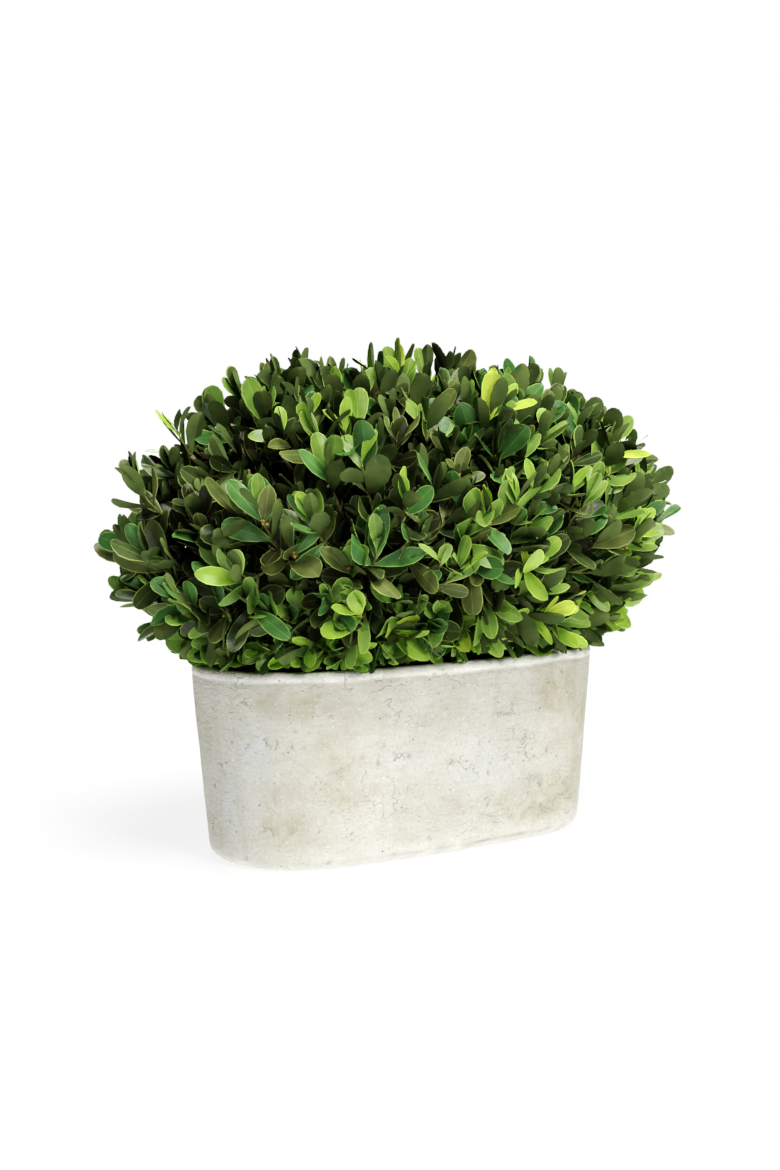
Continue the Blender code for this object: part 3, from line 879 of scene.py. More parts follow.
# How much a leaf's upper side looks towards its shoot and up. How much it looks out falls
# with how far the leaf leans out, between two limits.
FACE_INWARD, FACE_UP = 0.6, 0.35
FACE_OUT_FALL, FACE_OUT_LIMITS = 1.2, (0.30, 1.3)
# Size by shoot, how far length and width stray, and the ranges of a leaf's other shapes.
SHOOT_SIZES, SIZE_STRAY = (0.80, 1.22), 0.10
CURLS, DOMES = (-0.20, 0.30), (-0.05, 0.60)
FOLDS, TWIST_STRAY = (0, 36), 16
WEDGES, TAPERS = (0.84, 1.18), (0.43, 0.64)

# What makes a leaf's green brighter: chance by shoot and by leaf, its clump, and painted light on
# the side towards the lamps.
TONE_BY_SHOOT, TONE_BY_LEAF = 0.8, 0.6
TONE_BY_CLUMP, PAINTED_SIDE_LIGHT = 0.35, 0.65
# What makes it darker: a shoot that stays inside, whose older leaves are darker and get
# painted shade too, and painted shade for lying deeper than a share of the crown, up to a full
# depth. Just above the rim leaves get painted light from the floor instead.
INNER_AGE_AND_SHADE = 0.5
SHADE_WITHIN, SHADE_DEPTH, PAINTED_DEPTH_SHADE = 0.93, 0.16, 3.1
DEEPEST_HOLLOW = -0.05
PAINTED_FLOOR_LIGHT = 0.45
RIM_BAND_FROM, RIM_BAND = 0.008, 0.030

# By height, from 0 at the crown's foot to 1 at its top: how strongly shoots turn up, how far
# leaves turn about their midrib in degrees, their size, and how much painted light brightens
# them, most near the top and some at the foot.
LIFTS = (0.0, 0.12, 0.40, 0.75, 1.0), (-0.10, 0.20, 1.0, 1.05, 0.6)
TURNINGS = (0.0, 0.65, 1.0), (32.0, 32.0, 60.0)
SIZES = (0.0, 0.35, 0.75, 1.0), (1.04, 1.04, 1.07, 1.05)
PAINTED_LIGHT_BY_HEIGHT = (0.0, 0.35, 0.60, 1.0), (0.25, 0.0, 0.05, 0.95)


def grow_twigs(spacing, seed, chance):
    """Twigs from each mass's own stem to the places where the solids have their sprays.

    They are given as roots, ways out, ends and ways at the end, for bent_lines.
    """
    middles, mass_ways, gates = mass_plan()
    tips = tip_places(spacing, LOW_RING_TWIGS, TWIG_TRIALS, seed)
    mass = np.argmax(unit(tips - HUB) @ mass_ways.T, axis=1)
    share = chance.uniform(*TWIG_ROOT, len(tips))[:, None]
    roots = middles[mass] * (1 - share) + gates[mass] * share
    ends = CROWN_CENTRE + (tips - CROWN_CENTRE) * chance.uniform(*TWIG_ENDS, (len(tips), 1))
    out = unit(ends - roots)
    end_ways = unit(out + UP * TWIG_RISE + chance.normal(0, TWIG_STRAY, out.shape))
    return roots, out, ends, end_ways


def shoot_tips(spacing, twig_spacing, seed, chance):
    """Where the shoots' top leaves end, the ways out there, each shoot's kind from 0 to 1, and
    which of them lie over the rim. Those have an ordinary kind.
    """
    low_ring = int(LOW_RING_TWIGS * twig_spacing / spacing)
    tips = tip_places(spacing, low_ring, SHOOT_TRIALS, seed + 1)
    outward = outward_ways(tips)
    reach = chance.uniform(*SHOOT_ENDS, len(tips)) + CLUMP_REACH * clumps(tips, chance)
    reach = reach + swell(tips)
    kind = chance.random(len(tips))
    kind[clumps(tips, chance) < SPARSE_BELOW] *= SPARSE_KIND
    outer = np.where(kind > OUTER_ABOVE, reach + OUTER_STEP, reach)
    reach = np.where(kind < INNER_BELOW, reach - INNER_STEP, outer)
    tips = leant(CROWN_CENTRE + (tips - CROWN_CENTRE) * reach[:, None])
    rim_tips, rim_outward = rim_places(spacing, chance)
    on_rim = np.arange(len(tips) + len(rim_tips)) >= len(tips)
    kind = np.concatenate([kind, np.full(len(rim_tips), RIM_KIND)])
    return np.concatenate([tips, rim_tips]), np.concatenate([outward, rim_outward]), kind, on_rim


def grow_shoots(tips, outward, lift, twigs, leaf_length, chance):
    """Shoots: each leaves the twig whose end lies nearest, and turns up as it grows, to end
    short of its tip by most of a leaf. They are given as twigs are.
    """
    twig_roots, twig_out, twig_ends, twig_end_ways = twigs
    growth = OUTLINE_SHARE * outward + (1 - OUTLINE_SHARE) * unit(tips - HUB)
    growth = unit(growth * END_TURN)
    ways = unit(growth + UP * lift[:, None] + chance.normal(0, SHOOT_STRAY, tips.shape))
    ends = tips - ways * leaf_length * TOP_LEAF_REACH
    near = np.argmin(np.linalg.norm(ends[:, None] - twig_ends[None], axis=-1), axis=1)
    fork = chance.uniform(*SHOOT_FORKS, (len(tips), 1))
    starts, start_ways = bent_lines(
        twig_roots[near], twig_out[near], twig_ends[near], twig_end_ways[near], fork
    )
    starts, start_ways = starts[:, 0], unit(start_ways[:, 0] + unit(ends - starts[:, 0]))
    return starts, start_ways, ends, ways


def leaf_tones(tips, height, inner, base, chance):
    """How bright a green each leaf has.

    Chance by shoot and by leaf, plus more for young leaves, painted light on high ones, on the
    lowest ones and on the side towards the lamps, painted shade on those deep in the crown, and
    the patches of painted shade and light listed for the crown.
    """
    by_shoot = chance.normal(0, TONE_BY_SHOOT, (len(tips), 1, 1))
    tone = by_shoot + chance.normal(0, TONE_BY_LEAF, base.shape[:3]) + PAIR_TONES[None, :, None]
    # Painted light: leaves on the side towards the lamps are brighter.
    lit_side_share = tips[:, :2] @ LEAN_WAY / CROWN_HALF_LENGTH
    for change in (
        -INNER_AGE_AND_SHADE * inner,
        # Painted light by height.
        np.interp(height, *PAINTED_LIGHT_BY_HEIGHT),
        TONE_BY_CLUMP * clumps(tips, chance) + PAINTED_SIDE_LIGHT * lit_side_share,
        # The listed patches of painted shade and painted light.
        patches(tips, CROWN_PAINTED_SHADE_AND_LIGHT),
    ):
        tone = tone + change[:, None, None]
    # Painted shade for leaves deep in the crown, except in a band just above the rim.
    edge = SHADE_WITHIN + np.maximum(swell(base), DEEPEST_HOLLOW)
    depth = np.clip((edge - crown_share(unleant(base))) / SHADE_DEPTH, 0, 1)
    above_rim = np.clip((base[..., 2] - POT_HEIGHT - RIM_BAND_FROM) / RIM_BAND, 0, 1)
    # Painted light from the floor for leaves just above the rim.
    return tone - PAINTED_DEPTH_SHADE * above_rim * depth + PAINTED_FLOOR_LIGHT * (1 - above_rim)


def grow_leaves(tips, outward, height, kind, shoots, leaf_length, leaf_width, chance):
    """Leaves in pairs down each shoot, each pair turned a quarter from the last.

    They are given as arrays of (shoots, pairs, 2), with the places of the pairs and the ways
    that the shoots run there.
    """
    starts, _, ends, _ = shoots
    count, pairs = len(tips), len(PAIR_PLACES)
    long = np.linalg.norm(ends - starts, axis=1)
    stretch = chance.uniform(*PAIR_STRETCH, (count, 1))
    back = PAIR_PLACES * stretch + chance.normal(0, PLACE_STRAY, (count, pairs))
    places, local_ways = bent_lines(*shoots, np.clip(1 - back / long[:, None], 0.02, 1))
    reference = np.where(np.abs(local_ways[..., 2:]) < 0.9, UP, (1.0, 0.0, 0.0))
    side = unit(np.cross(local_ways, reference))
    turn = chance.uniform(0, math.pi, (count, 1)) + np.arange(pairs) * math.pi / 2
    turn = turn + chance.normal(0, TURN_STRAY, (count, pairs))
    side = turned(side, local_ways, turn)
    side = np.stack([side, -side], axis=2)
    shape = side.shape[:3]
    way = np.broadcast_to(local_ways[:, :, None], side.shape)
    lean = PAIR_LEANS[None, :, None] + chance.normal(0, LEAN_STRAY, shape)
    along = way * np.cos(lean)[..., None] + side * np.sin(lean)[..., None]
    # A leaf's upper side looks towards its shoot, and leaves at the shoot's sides and back
    # turn it out to the light.
    inward = way * np.sin(lean)[..., None] - side * np.cos(lean)[..., None]
    out = outward[:, None, None]
    leans_out = (side * out).sum(-1, keepdims=True)
    looks_out = np.clip(1 - FACE_OUT_FALL * leans_out, *FACE_OUT_LIMITS)
    face = inward * FACE_INWARD + out * looks_out + UP * FACE_UP
    face = face - along * (face * along).sum(-1, keepdims=True)
    turning = np.interp(height, *TURNINGS)[:, None, None]
    face = turned(unit(face), along, np.radians(turning * chance.normal(0, 1, shape)))
    size = leaf_length * PAIR_LENGTHS[None, :, None] * chance.normal(1.0, SIZE_STRAY, shape)
    size = size * chance.uniform(*SHOOT_SIZES, (count, 1, 1))
    size = size * (1 + TALL_GROWTH * (kind > TALL_ABOVE)[:, None, None])
    size = size * np.interp(height, *SIZES)[:, None, None]
    leaves = {
        "base": np.broadcast_to(places[:, :, None], side.shape),
        "along": along,
        "face": face,
        "length": size,
        "half_width": size * leaf_width * chance.normal(1.0, SIZE_STRAY, shape) / 2,
    }
    return leaves, places, local_ways


@functools.lru_cache(maxsize=1)
def grow(spacing, twig_spacing, leaf_length, leaf_width, upward, seed):
    """The whole crown's twigs, shoots, leaves and buds, as arrays."""
    chance = np.random.default_rng(seed)
    twigs = grow_twigs(twig_spacing, seed, chance)
    tips, outward, kind, on_rim = shoot_tips(spacing, twig_spacing, seed, chance)
    count = len(tips)
    height = (tips[:, 2] - CROWN_FOOT) / (CROWN_MIDDLE + CROWN_UP - CROWN_FOOT)
    lift = upward * np.interp(height, *LIFTS)
    shoots = grow_shoots(tips, outward, lift, twigs, leaf_length, chance)
    leaves, places, ways = grow_leaves(
        tips, outward, height, kind, shoots, leaf_length, leaf_width, chance
    )
    # The greens are dealt out by rank, so each has its share of the leaves.
    tone = leaf_tones(tips, height, kind < INNER_BELOW, leaves["base"], chance)
    rank = np.argsort(np.argsort(tone.reshape(-1))).reshape(tone.shape) / tone.size
    green = np.searchsorted(np.cumsum([share for _, _, share in GREENS])[:-1], rank)
    # The oldest pair is there on some shoots only.
    present = np.ones(tone.shape, bool)
    present[:, -1] = chance.random((count, 1)) < OLD_PAIR_CHANCE
    leaves = {key: values[present] for key, values in leaves.items()}
    number = present.sum()
    leaves |= {
        "green": green[present],
        "curl": chance.uniform(*CURLS, number),
        "fold": np.radians(chance.uniform(*FOLDS, number)),
        "dome": chance.uniform(*DOMES, number),
        "twist": np.radians(chance.normal(0, TWIST_STRAY, number)),
        "wedge": chance.uniform(*WEDGES, number),
        "taper": chance.uniform(*TAPERS, number),
    }
    owner = np.broadcast_to(np.arange(count)[:, None, None], tone.shape)[present]
    kept = leaves_clear(leaves)
    least = np.where(on_rim, LEAST_RIM_LEAVES, LEAST_LEAVES)
    leafy = np.bincount(owner[kept], minlength=count) > least * np.bincount(owner, minlength=count)
    kept &= leafy[owner]

    # Buds: small clusters where a pair of leaves stands, on some shoots.
    budding = leafy & (chance.random(count) < BUD_CHANCE)
    rows, pair = np.arange(count), chance.integers(0, 2, count)
    middles, _, gates = mass_plan()
    stems = [gates + (middles - gates) * t for t in np.linspace(0, 1, 5)]
    return {
        "mass_stems": np.stack(stems, axis=1),
        "twigs": bent_lines(*twigs, even_steps(len(twigs[0]), 9))[0],
        "shoots": bent_lines(*shoots, even_steps(count, 8))[0][leafy],
        "leaves": {key: values[kept] for key, values in leaves.items()},
        "buds": {"place": places[rows, pair][budding], "way": ways[rows, pair][budding]},
    }


# Spots on a leaf that are tested: share of its length, share of its half width.
LEAF_SPOTS = np.array(((1.0, 0.0), (0.8, 0.8), (0.8, -0.8), (0.6, 1.0), (0.6, -1.0), (0.4, 0.0)))
# How far they have to stay above the rim, or inside or outside the wall, and above the mix.
ABOVE_RIM, INSIDE_WALL, OUTSIDE_WALL = 0.0007, 0.0010, 0.0009
ABOVE_MIX = 0.001
# The lowest level for leaves, and how much it rises on the way out from the rim.
LOWEST_LEAF, LOWEST_LEAF_RISE = CROWN_FOOT - 0.0029, 0.15


def leaves_clear(leaves):
    """Which leaves stay within the crown's reach, clear of the wall and above the mix."""
    length, half_width = leaves["length"][:, None], leaves["half_width"][:, None]
    across = np.cross(leaves["face"], leaves["along"])
    long = leaves["along"][:, None] * (length * LEAF_SPOTS[:, 0])[..., None]
    wide = across[:, None] * (half_width * LEAF_SPOTS[:, 1])[..., None]
    drop = leaves["curl"][:, None] * length * LEAF_SPOTS[:, 0] ** 2
    spots = leaves["base"][:, None] + long + wide - leaves["face"][:, None] * drop[..., None]
    outside, level = outside_rim(spots), spots[..., 2]
    by_wall = (outside > -POT_WALL - INSIDE_WALL) & (outside < OUTSIDE_WALL)
    in_wall = (level < POT_HEIGHT + ABOVE_RIM) & by_wall
    in_mix = (level < FILL_TOP + ABOVE_MIX) & (outside <= 0)
    too_low = level < LOWEST_LEAF + LOWEST_LEAF_RISE * np.maximum(outside, 0)
    upright = unleant(spots)
    swelling = swell(upright)
    beyond = crown_share(upright) > CROWN_LIMIT + np.maximum(swelling, 0.6 * swelling)
    return ~(in_wall | in_mix | too_low | beyond).any(axis=1)


def leaf_half_width(share, wedge, taper):
    """Half the width of a leaf along it, as a share of its greatest.

    share to the power wedge makes the base, and one less the share to the power taper makes
    the round tip. The product is divided by its own greatest value.
    """
    widest = wedge / (wedge + taper)
    peak = widest**wedge * (1 - widest) ** taper
    return share**wedge * (1 - share) ** taper / peak


# Where a leaf's stations stand along it, and the slots of the seven strips round it.
LEAF_STATIONS = np.array((0.0, 0.10, 0.30, 0.54, 0.76, 0.91, 0.98))
LEAF_SLOTS = np.array((1, 0, 2, 0, 1, 3, 3))
MARGIN_WIDTH = 0.00046
RIB_WIDTH = 0.00026
RIB_RISE = 0.00012
PETIOLE_HALF_WIDTH = 0.00045
# On a narrow station the margins and the midrib keep to a share of its half width.
LEAST_BLADE, MOST_RIB = 0.7, 0.25


def leaf_mesh_arrays(leaves, thickness):
    """Points, faces and slots of many leaves.

    A leaf is a closed shell round seven stations and a tip of one point. A station has seven
    points: both edges, the inner side of both margins, both sides of the midrib, and one below
    it. A point is the base plus share x length along, t across, and fold x |t| less dome x t^2
    upwards, turned about the midrib by twist x share. The whole drops by curl x share^2 x
    length. Slots: 0 blade, 1 margin, 2 midrib, 3 underside.
    """
    count, stations, ring = len(leaves["base"]), len(LEAF_STATIONS), len(LEAF_SLOTS)
    across = np.cross(leaves["face"], leaves["along"])
    outline = leaf_half_width(LEAF_STATIONS, leaves["wedge"][:, None], leaves["taper"][:, None])
    half = leaves["half_width"][:, None] * outline
    half = np.maximum(half, PETIOLE_HALF_WIDTH)
    margin = np.maximum(half - MARGIN_WIDTH, half * LEAST_BLADE)
    rib = np.minimum(RIB_WIDTH, half * MOST_RIB)
    t = np.stack([-half, -margin, -rib, rib, margin, half, np.zeros_like(half)], axis=-1)
    wide = leaves["half_width"][:, None, None]
    fold, dome = leaves["fold"][:, None, None], leaves["dome"][:, None, None]
    rise = np.abs(t) * np.sin(fold) - dome * t**2 / wide
    rise[..., 2:4] += RIB_RISE
    rise[..., 6] -= thickness
    t = t * np.cos(fold)
    share = LEAF_STATIONS[None, :, None]
    length = leaves["length"][:, None, None]
    drop = leaves["curl"][:, None, None] * share**2 * length
    twist = leaves["twist"][:, None, None] * share
    sideways = t * np.cos(twist) - rise * np.sin(twist)
    upwards = t * np.sin(twist) + rise * np.cos(twist)
    along = leaves["along"][:, None, None]
    face = leaves["face"][:, None, None]
    points = (
        leaves["base"][:, None, None]
        + along * (share * length)[..., None]
        + across[:, None, None] * sideways[..., None]
        + face * (upwards - drop)[..., None]
    )
    tip = (
        leaves["base"]
        + leaves["along"] * leaves["length"][:, None]
        - leaves["face"] * (leaves["curl"] * leaves["length"])[:, None]
    )
    points = np.concatenate([points.reshape(count, -1, 3), tip[:, None]], axis=1)
    station, column = np.meshgrid(np.arange(stations - 1), np.arange(ring), indexing="ij")
    after = (column + 1) % ring
    near, far = station * ring, (station + 1) * ring
    quads = np.stack([near + column, far + column, far + after, near + after], axis=-1)
    last = (stations - 1) * ring
    here = np.arange(ring)
    tips = np.full(ring, stations * ring)
    fan = np.stack([last + here, tips, last + (here + 1) % ring], axis=-1)
    offset = np.arange(count)[:, None, None] * points.shape[1]
    faces = [
        (quads.reshape(-1, 4) + offset).reshape(-1, 4),
        (fan + offset).reshape(-1, 3),
        (here + offset).reshape(-1, ring),
    ]
    slots = [np.tile(LEAF_SLOTS[column].reshape(-1), count), np.tile(LEAF_SLOTS, count), 3]
    return points.reshape(-1, 3), faces, slots


def grown(context):
    """The crown that the settings give. It is grown once and kept."""
    crown = context.scene.boxwood_crown
    return grow(
        round(crown.spacing, 6),
        round(crown.twig_spacing, 6),
        round(crown.leaf_length, 6),
        round(crown.leaf_width, 4),
        round(crown.upward, 4),
        crown.seed,
    )


# The planter.


def rounded_corner(before, corner, after, radius, steps):
    """Points on an arc of that radius that touches both lines of a corner, in (grown, height)."""
    before, corner, after = (np.array(p, float) for p in (before, corner, after))
    back, on = unit(before - corner), unit(after - corner)
    half_angle = math.acos(np.clip(back @ on, -1, 1)) / 2
    centre = corner + unit(back + on) * radius / math.sin(half_angle)
    first = corner + back * radius / math.tan(half_angle) - centre
    last = corner + on * radius / math.tan(half_angle) - centre
    total = math.acos(np.clip(unit(first) @ unit(last), -1, 1))
    t = np.linspace(0, 1, steps)[:, None]
    return centre + (np.sin((1 - t) * total) * first + np.sin(t * total) * last) / math.sin(total)


def planter_profile():
    """The wall's outline from the foot up, over the rim and down inside, as (grown, height)."""
    foot = (-POT_DRAFT * POT_HEIGHT, 0.0)
    rim = (0.0, POT_HEIGHT)
    inner_rim = (-POT_WALL, POT_HEIGHT)
    inner_foot = (-POT_WALL - POT_DRAFT * (POT_HEIGHT - POT_FLOOR), POT_FLOOR)
    under = (foot[0] - 0.03, 0.0)
    base = rounded_corner(under, foot, rim, BASE_ROUND, 12)
    lip = rounded_corner(foot, rim, inner_rim, RIM_OUTER_ROUND, 8)
    inner_lip = rounded_corner(rim, inner_rim, inner_foot, RIM_INNER_ROUND, 6)
    wall = np.linspace(base[-1], lip[0], 86)[1:-1]
    top = np.linspace(lip[-1], inner_lip[0], 6)[1:-1]
    inner = np.linspace(inner_lip[-1], np.array(inner_foot), 14)[1:]
    return base, wall, lip, top, inner_lip, inner


# Marks on the planter's wall: place, reach round the wall, reach in height, strength.
STAINS = (
    ((0.0640, -0.0525, 0.0800), 0.022, 0.013, 0.95),
    ((0.0820, -0.0430, 0.0540), 0.014, 0.030, 0.90),
    ((0.0560, -0.0520, 0.0520), 0.016, 0.014, 0.45),
    ((0.0600, -0.0484, 0.0190), 0.024, 0.013, 1.10),
    ((0.0420, -0.0520, 0.0160), 0.018, 0.005, 0.60),
    ((-0.0807, -0.0489, 0.0808), 0.020, 0.007, 0.85),
    ((-0.0700, -0.0502, 0.0577), 0.009, 0.018, 0.80),
    ((-0.0928, -0.0359, 0.0275), 0.012, 0.018, 1.10),
    ((-0.0520, -0.0530, 0.0350), 0.026, 0.006, 0.55),
    ((-0.0250, -0.0540, 0.0730), 0.030, 0.005, 0.45),
    ((0.0150, -0.0545, 0.0250), 0.030, 0.006, 0.45),
    ((-0.0960, -0.0360, 0.0860), 0.014, 0.006, 0.50),
    ((-0.0550, -0.0510, 0.0900), 0.012, 0.007, 0.40),
    ((-0.0500, 0.0530, 0.0300), 0.022, 0.012, 0.80),
    ((0.0700, 0.0500, 0.0720), 0.016, 0.010, 0.80),
    ((0.1050, 0.0150, 0.0350), 0.012, 0.016, 0.60),
)
COOL_PATCHES = (
    ((-0.1026, -0.0280, 0.0540), 0.010, 0.020, 1.00),
    ((-0.1034, -0.0100, 0.0340), 0.012, 0.018, 0.80),
    ((-0.0950, -0.0360, 0.0480), 0.008, 0.010, 0.70),
    ((0.0180, -0.0540, 0.0450), 0.024, 0.020, 0.60),
    ((-0.0300, -0.0530, 0.0600), 0.016, 0.020, 0.35),
    ((0.0200, 0.0550, 0.0600), 0.030, 0.020, 0.80),
    ((0.1080, -0.0100, 0.0600), 0.010, 0.020, 0.60),
)
# Dents: place, reach round the wall, reach in height, depth.
DENTS = (
    ((0.0554, -0.0496, 0.0285), 0.0010, 0.0013, 0.0007),
    ((0.0536, -0.0500, 0.0300), 0.0007, 0.0007, 0.0005),
    ((0.0561, -0.0496, 0.0252), 0.0008, 0.0006, 0.0004),
    ((0.0500, -0.0505, 0.0330), 0.0075, 0.0035, 0.0003),
    ((0.0470, -0.0510, 0.0270), 0.0040, 0.0030, -0.0003),
    ((0.0184, -0.0539, 0.0400), 0.0008, 0.0014, 0.0006),
    ((0.0586, -0.0508, 0.0469), 0.0011, 0.0018, 0.0006),
    ((0.0560, -0.0505, 0.0180), 0.0009, 0.0012, 0.0006),
    ((-0.0900, -0.0420, 0.0625), 0.0009, 0.0010, 0.0007),
    ((-0.0480, -0.0520, 0.0520), 0.0007, 0.0014, 0.0006),
    ((-0.0890, -0.0430, 0.0700), 0.0012, 0.0008, 0.0004),
    ((-0.0860, -0.0450, 0.0620), 0.0010, 0.0008, 0.0004),
    ((0.0310, -0.0550, 0.0560), 0.0016, 0.0006, 0.0004),
    ((-0.0100, -0.0540, 0.0300), 0.0020, 0.0010, 0.0003),
    ((0.0820, -0.0440, 0.0600), 0.0008, 0.0010, 0.0006),
    ((-0.1079, 0.0161, 0.0780), 0.0006, 0.0140, 0.0004),
    ((-0.1083, 0.0130, 0.0800), 0.0005, 0.0120, 0.0003),
)
# Curved scratches: middle, radius, angle where they start and end in degrees, depth, painted
# shade.
SCRATCHES = (
    ((-0.0981, -0.0350, 0.0644), 0.0036, -70, 50, 0.0004, 0.60),
    ((-0.0975, -0.0352, 0.0650), 0.0021, 120, 280, 0.0003, 0.45),
    ((-0.0940, -0.0375, 0.0620), 0.0060, 150, 185, 0.0003, 0.35),
    ((-0.0915, -0.0390, 0.0300), 0.0140, 195, 240, 0.0010, 0.0),
    ((0.0279, -0.0552, 0.0600), 0.0090, 55, 100, 0.0003, 0.35),
    ((0.0400, -0.0530, 0.0250), 0.0160, 10, 45, 0.0002, 0.20),
)


# The casting: columns of points round the wall and the walk round it, its waves as cells
# round the wall, cells up it and share of the unevenness, and the lines along it.
PLANTER_COLUMNS = 700
PLANTER_ROUND = 2 * (2 * ARCS_MEET * POT_END_RADIUS + (math.pi - 2 * ARCS_MEET) * SIDE_RADIUS)
CASTING_WAVES = ((13, 5, 1.0), (46, 16, 0.40), (170, 60, 0.16))
LINE_BELOW_RIM, LINE_DEPTH = 0.0056, 0.00022
LEDGE_HEIGHT, LEDGE_DEPTH = 0.0042, 0.0006
LEDGE_FROM, LEDGE_LENGTH = 0.80, 0.23
# How far the lines and the scratches stray, and their reach across.
LINE_STRAY, LINE_REACH, LINE_SHADE_REACH = 0.0008, 0.0011, 0.0008
LEDGE_STRAY, LEDGE_REACH = 0.0006, 0.0007
SCRATCH_STRAY, SCRATCH_REACH, SCRATCH_ENDS = 0.22, 0.00045, 12
# Pits: how low they lie, their sizes, and their height and depth as a share.
LOWEST_PIT, PIT_SIZES = 0.003, (0.0005, 0.0011)
PIT_HEIGHTS, PIT_DEPTHS = (0.6, 1.0), (0.2, 1.0)
# How much painted shade each gets, and from which depth on it gets all of it.
LEDGE_SHADE, LINE_SHADE, MOST_SHADE = 0.55, 0.16, 0.9
DENT_SHADE, FULL_DENT = 0.8, 0.0008
PIT_SHADE, FULL_PIT = 0.6, 0.0006
# How far the first rows of the foot and the rows inside follow the casting's waves, and how
# deep the waves are on the rim's top.
FOOT_FADE, INSIDE_FADE, RIM_WAVES = (0.0, 0.2, 0.6), 0.5, 0.0003
# The painted light along the foot and the painted highlight along the rim: over which height
# each ends, from the foot up and at the rim, and how pale.
FOOT_LIGHT_BAND, FOOT_LIGHT = (0.002, 0.012), 0.55
RIM_HIGHLIGHT_BAND, RIM_HIGHLIGHT = 0.0015, 0.95
# Rings on the foot's underside and on the floor, as shares of the outermost.
RING_SHARES = (0.45, 0.85, 0.97)


def planter_arrays(settings):
    """Points, faces and marks of the planter.

    A point is an arc's centre plus (arc radius + grown) times the way out, at a height. The
    profile gives grown and height. The casting's waves, a line below the rim, dents,
    scratches and pits are taken off grown. The foot's underside and the floor inside shrink
    towards the middle.
    """
    chance = np.random.default_rng(settings.seed)
    columns, half_round = PLANTER_COLUMNS, PLANTER_ROUND / 2
    centre, radius, way = oval_frame(columns)
    rim_line = centre + radius[:, None] * way
    parts = planter_profile()
    profile = np.concatenate(parts)
    lip_first = len(parts[0]) + len(parts[1])
    outer_rows = lip_first + len(parts[2]) + len(parts[3])
    walked = np.concatenate([[0], np.cumsum(np.linalg.norm(np.diff(profile, axis=0), axis=1))])
    walked = walked[:, None] / walked[-1] * 0.999
    u, v = np.broadcast_arrays(np.arange(columns) / columns, walked)
    x, y = u * PLANTER_ROUND, np.broadcast_to(profile[:, 1:], u.shape)
    outside = np.zeros((len(profile), 1))
    outside[:outer_rows] = 1.0

    def over(place):
        """How far round the wall, and how far up, each point lies from a place on the wall."""
        column = np.argmin(np.linalg.norm(rim_line - place[:2], axis=1))
        away = (x - column / columns * PLANTER_ROUND + half_round) % PLANTER_ROUND
        return away - half_round, y - place[2]

    def round_noise(cells):
        """Noise that changes round the wall and not up it."""
        return lattice_noise(u, v * 0, cells, 1, chance)

    def mottled(marks):
        """The sum of strength times hump over some marks, broken up by noise."""
        total = np.zeros_like(x)
        for place, wide, high, strength in marks:
            across, up = over(place)
            total += strength * hump((across, wide), (up, high))
        return np.clip(total * (0.95 + 0.60 * rough), 0, 1) * outside

    relief = sum(
        lattice_noise(u, v, cells, levels, chance) * settings.unevenness * share
        for cells, levels, share in CASTING_WAVES
    )
    rough = lattice_noise(u, v, 60, 22, chance) + lattice_noise(u, v, 150, 55, chance) * 0.6
    # A soft line below the rim, and a broken one above the foot along the front.
    line = POT_HEIGHT - LINE_BELOW_RIM + round_noise(22) * LINE_STRAY
    relief = relief - LINE_DEPTH * hump((y - line, LINE_REACH)) * outside
    ledge = LEDGE_HEIGHT + round_noise(40) * LEDGE_STRAY
    along = np.clip(np.sin((u - LEDGE_FROM) / LEDGE_LENGTH * math.pi), 0, 1) * (u > LEDGE_FROM)
    broken = np.clip(0.5 + round_noise(70), 0, 1)
    under = hump((y - ledge, LEDGE_REACH)) * along * broken * outside
    relief = relief - LEDGE_DEPTH * under
    # Painted shade in the ledge and in the line below the rim.
    dirt = LEDGE_SHADE * under + LINE_SHADE * hump((y - line, LINE_SHADE_REACH)) * outside
    for place, wide, high, depth in DENTS:
        across, up = over(place)
        near = hump((across, wide), (up, high))
        relief = relief - depth * near
        dirt += near * min(max(depth, 0) / FULL_DENT, 1.0) * DENT_SHADE
    for place, reach, start, end, depth, dark in SCRATCHES:
        across, up = over(place)
        angle = (np.degrees(np.arctan2(up, across)) - start) % 360
        within = np.clip(np.minimum(angle, end - start - angle) / SCRATCH_ENDS, 0, 1)
        within = within * (angle < end - start)
        astray = np.hypot(across, up) - reach * (1 + SCRATCH_STRAY * rough)
        near = hump((astray, SCRATCH_REACH)) * within
        relief = relief - depth * near
        dirt += near * dark
    for _ in range(settings.pits):
        px, py = chance.uniform(0, PLANTER_ROUND), chance.uniform(LOWEST_PIT, POT_HEIGHT)
        size = chance.uniform(*PIT_SIZES)
        depth = settings.pit_depth * chance.uniform(*PIT_DEPTHS) ** 2
        away = np.abs(x - px)
        away = np.minimum(away, PLANTER_ROUND - away)
        near = hump((away, size), (y - py, size * chance.uniform(*PIT_HEIGHTS)))
        relief = relief - depth * near * outside
        dirt += near * outside * min(depth / FULL_PIT, 1.0) * PIT_SHADE
    # The sharpest part of the foot stays true, and the inside nearly so.
    fade = np.ones((len(profile), 1))
    fade[: len(FOOT_FADE), 0] = FOOT_FADE
    fade[outer_rows:] = INSIDE_FADE
    grown_out = profile[:, :1] + relief * fade
    # On the rim's flat top the casting's waves lift and lower the cement instead.
    on_top = np.zeros((len(profile), 1))
    on_top[lip_first : outer_rows + len(parts[4])] = 1.0
    height = y - np.abs(round_noise(24)) * RIM_WAVES * on_top
    ring = centre[None] + (radius[None] + grown_out)[..., None] * way[None]
    points = np.concatenate([ring, height[..., None]], axis=-1)

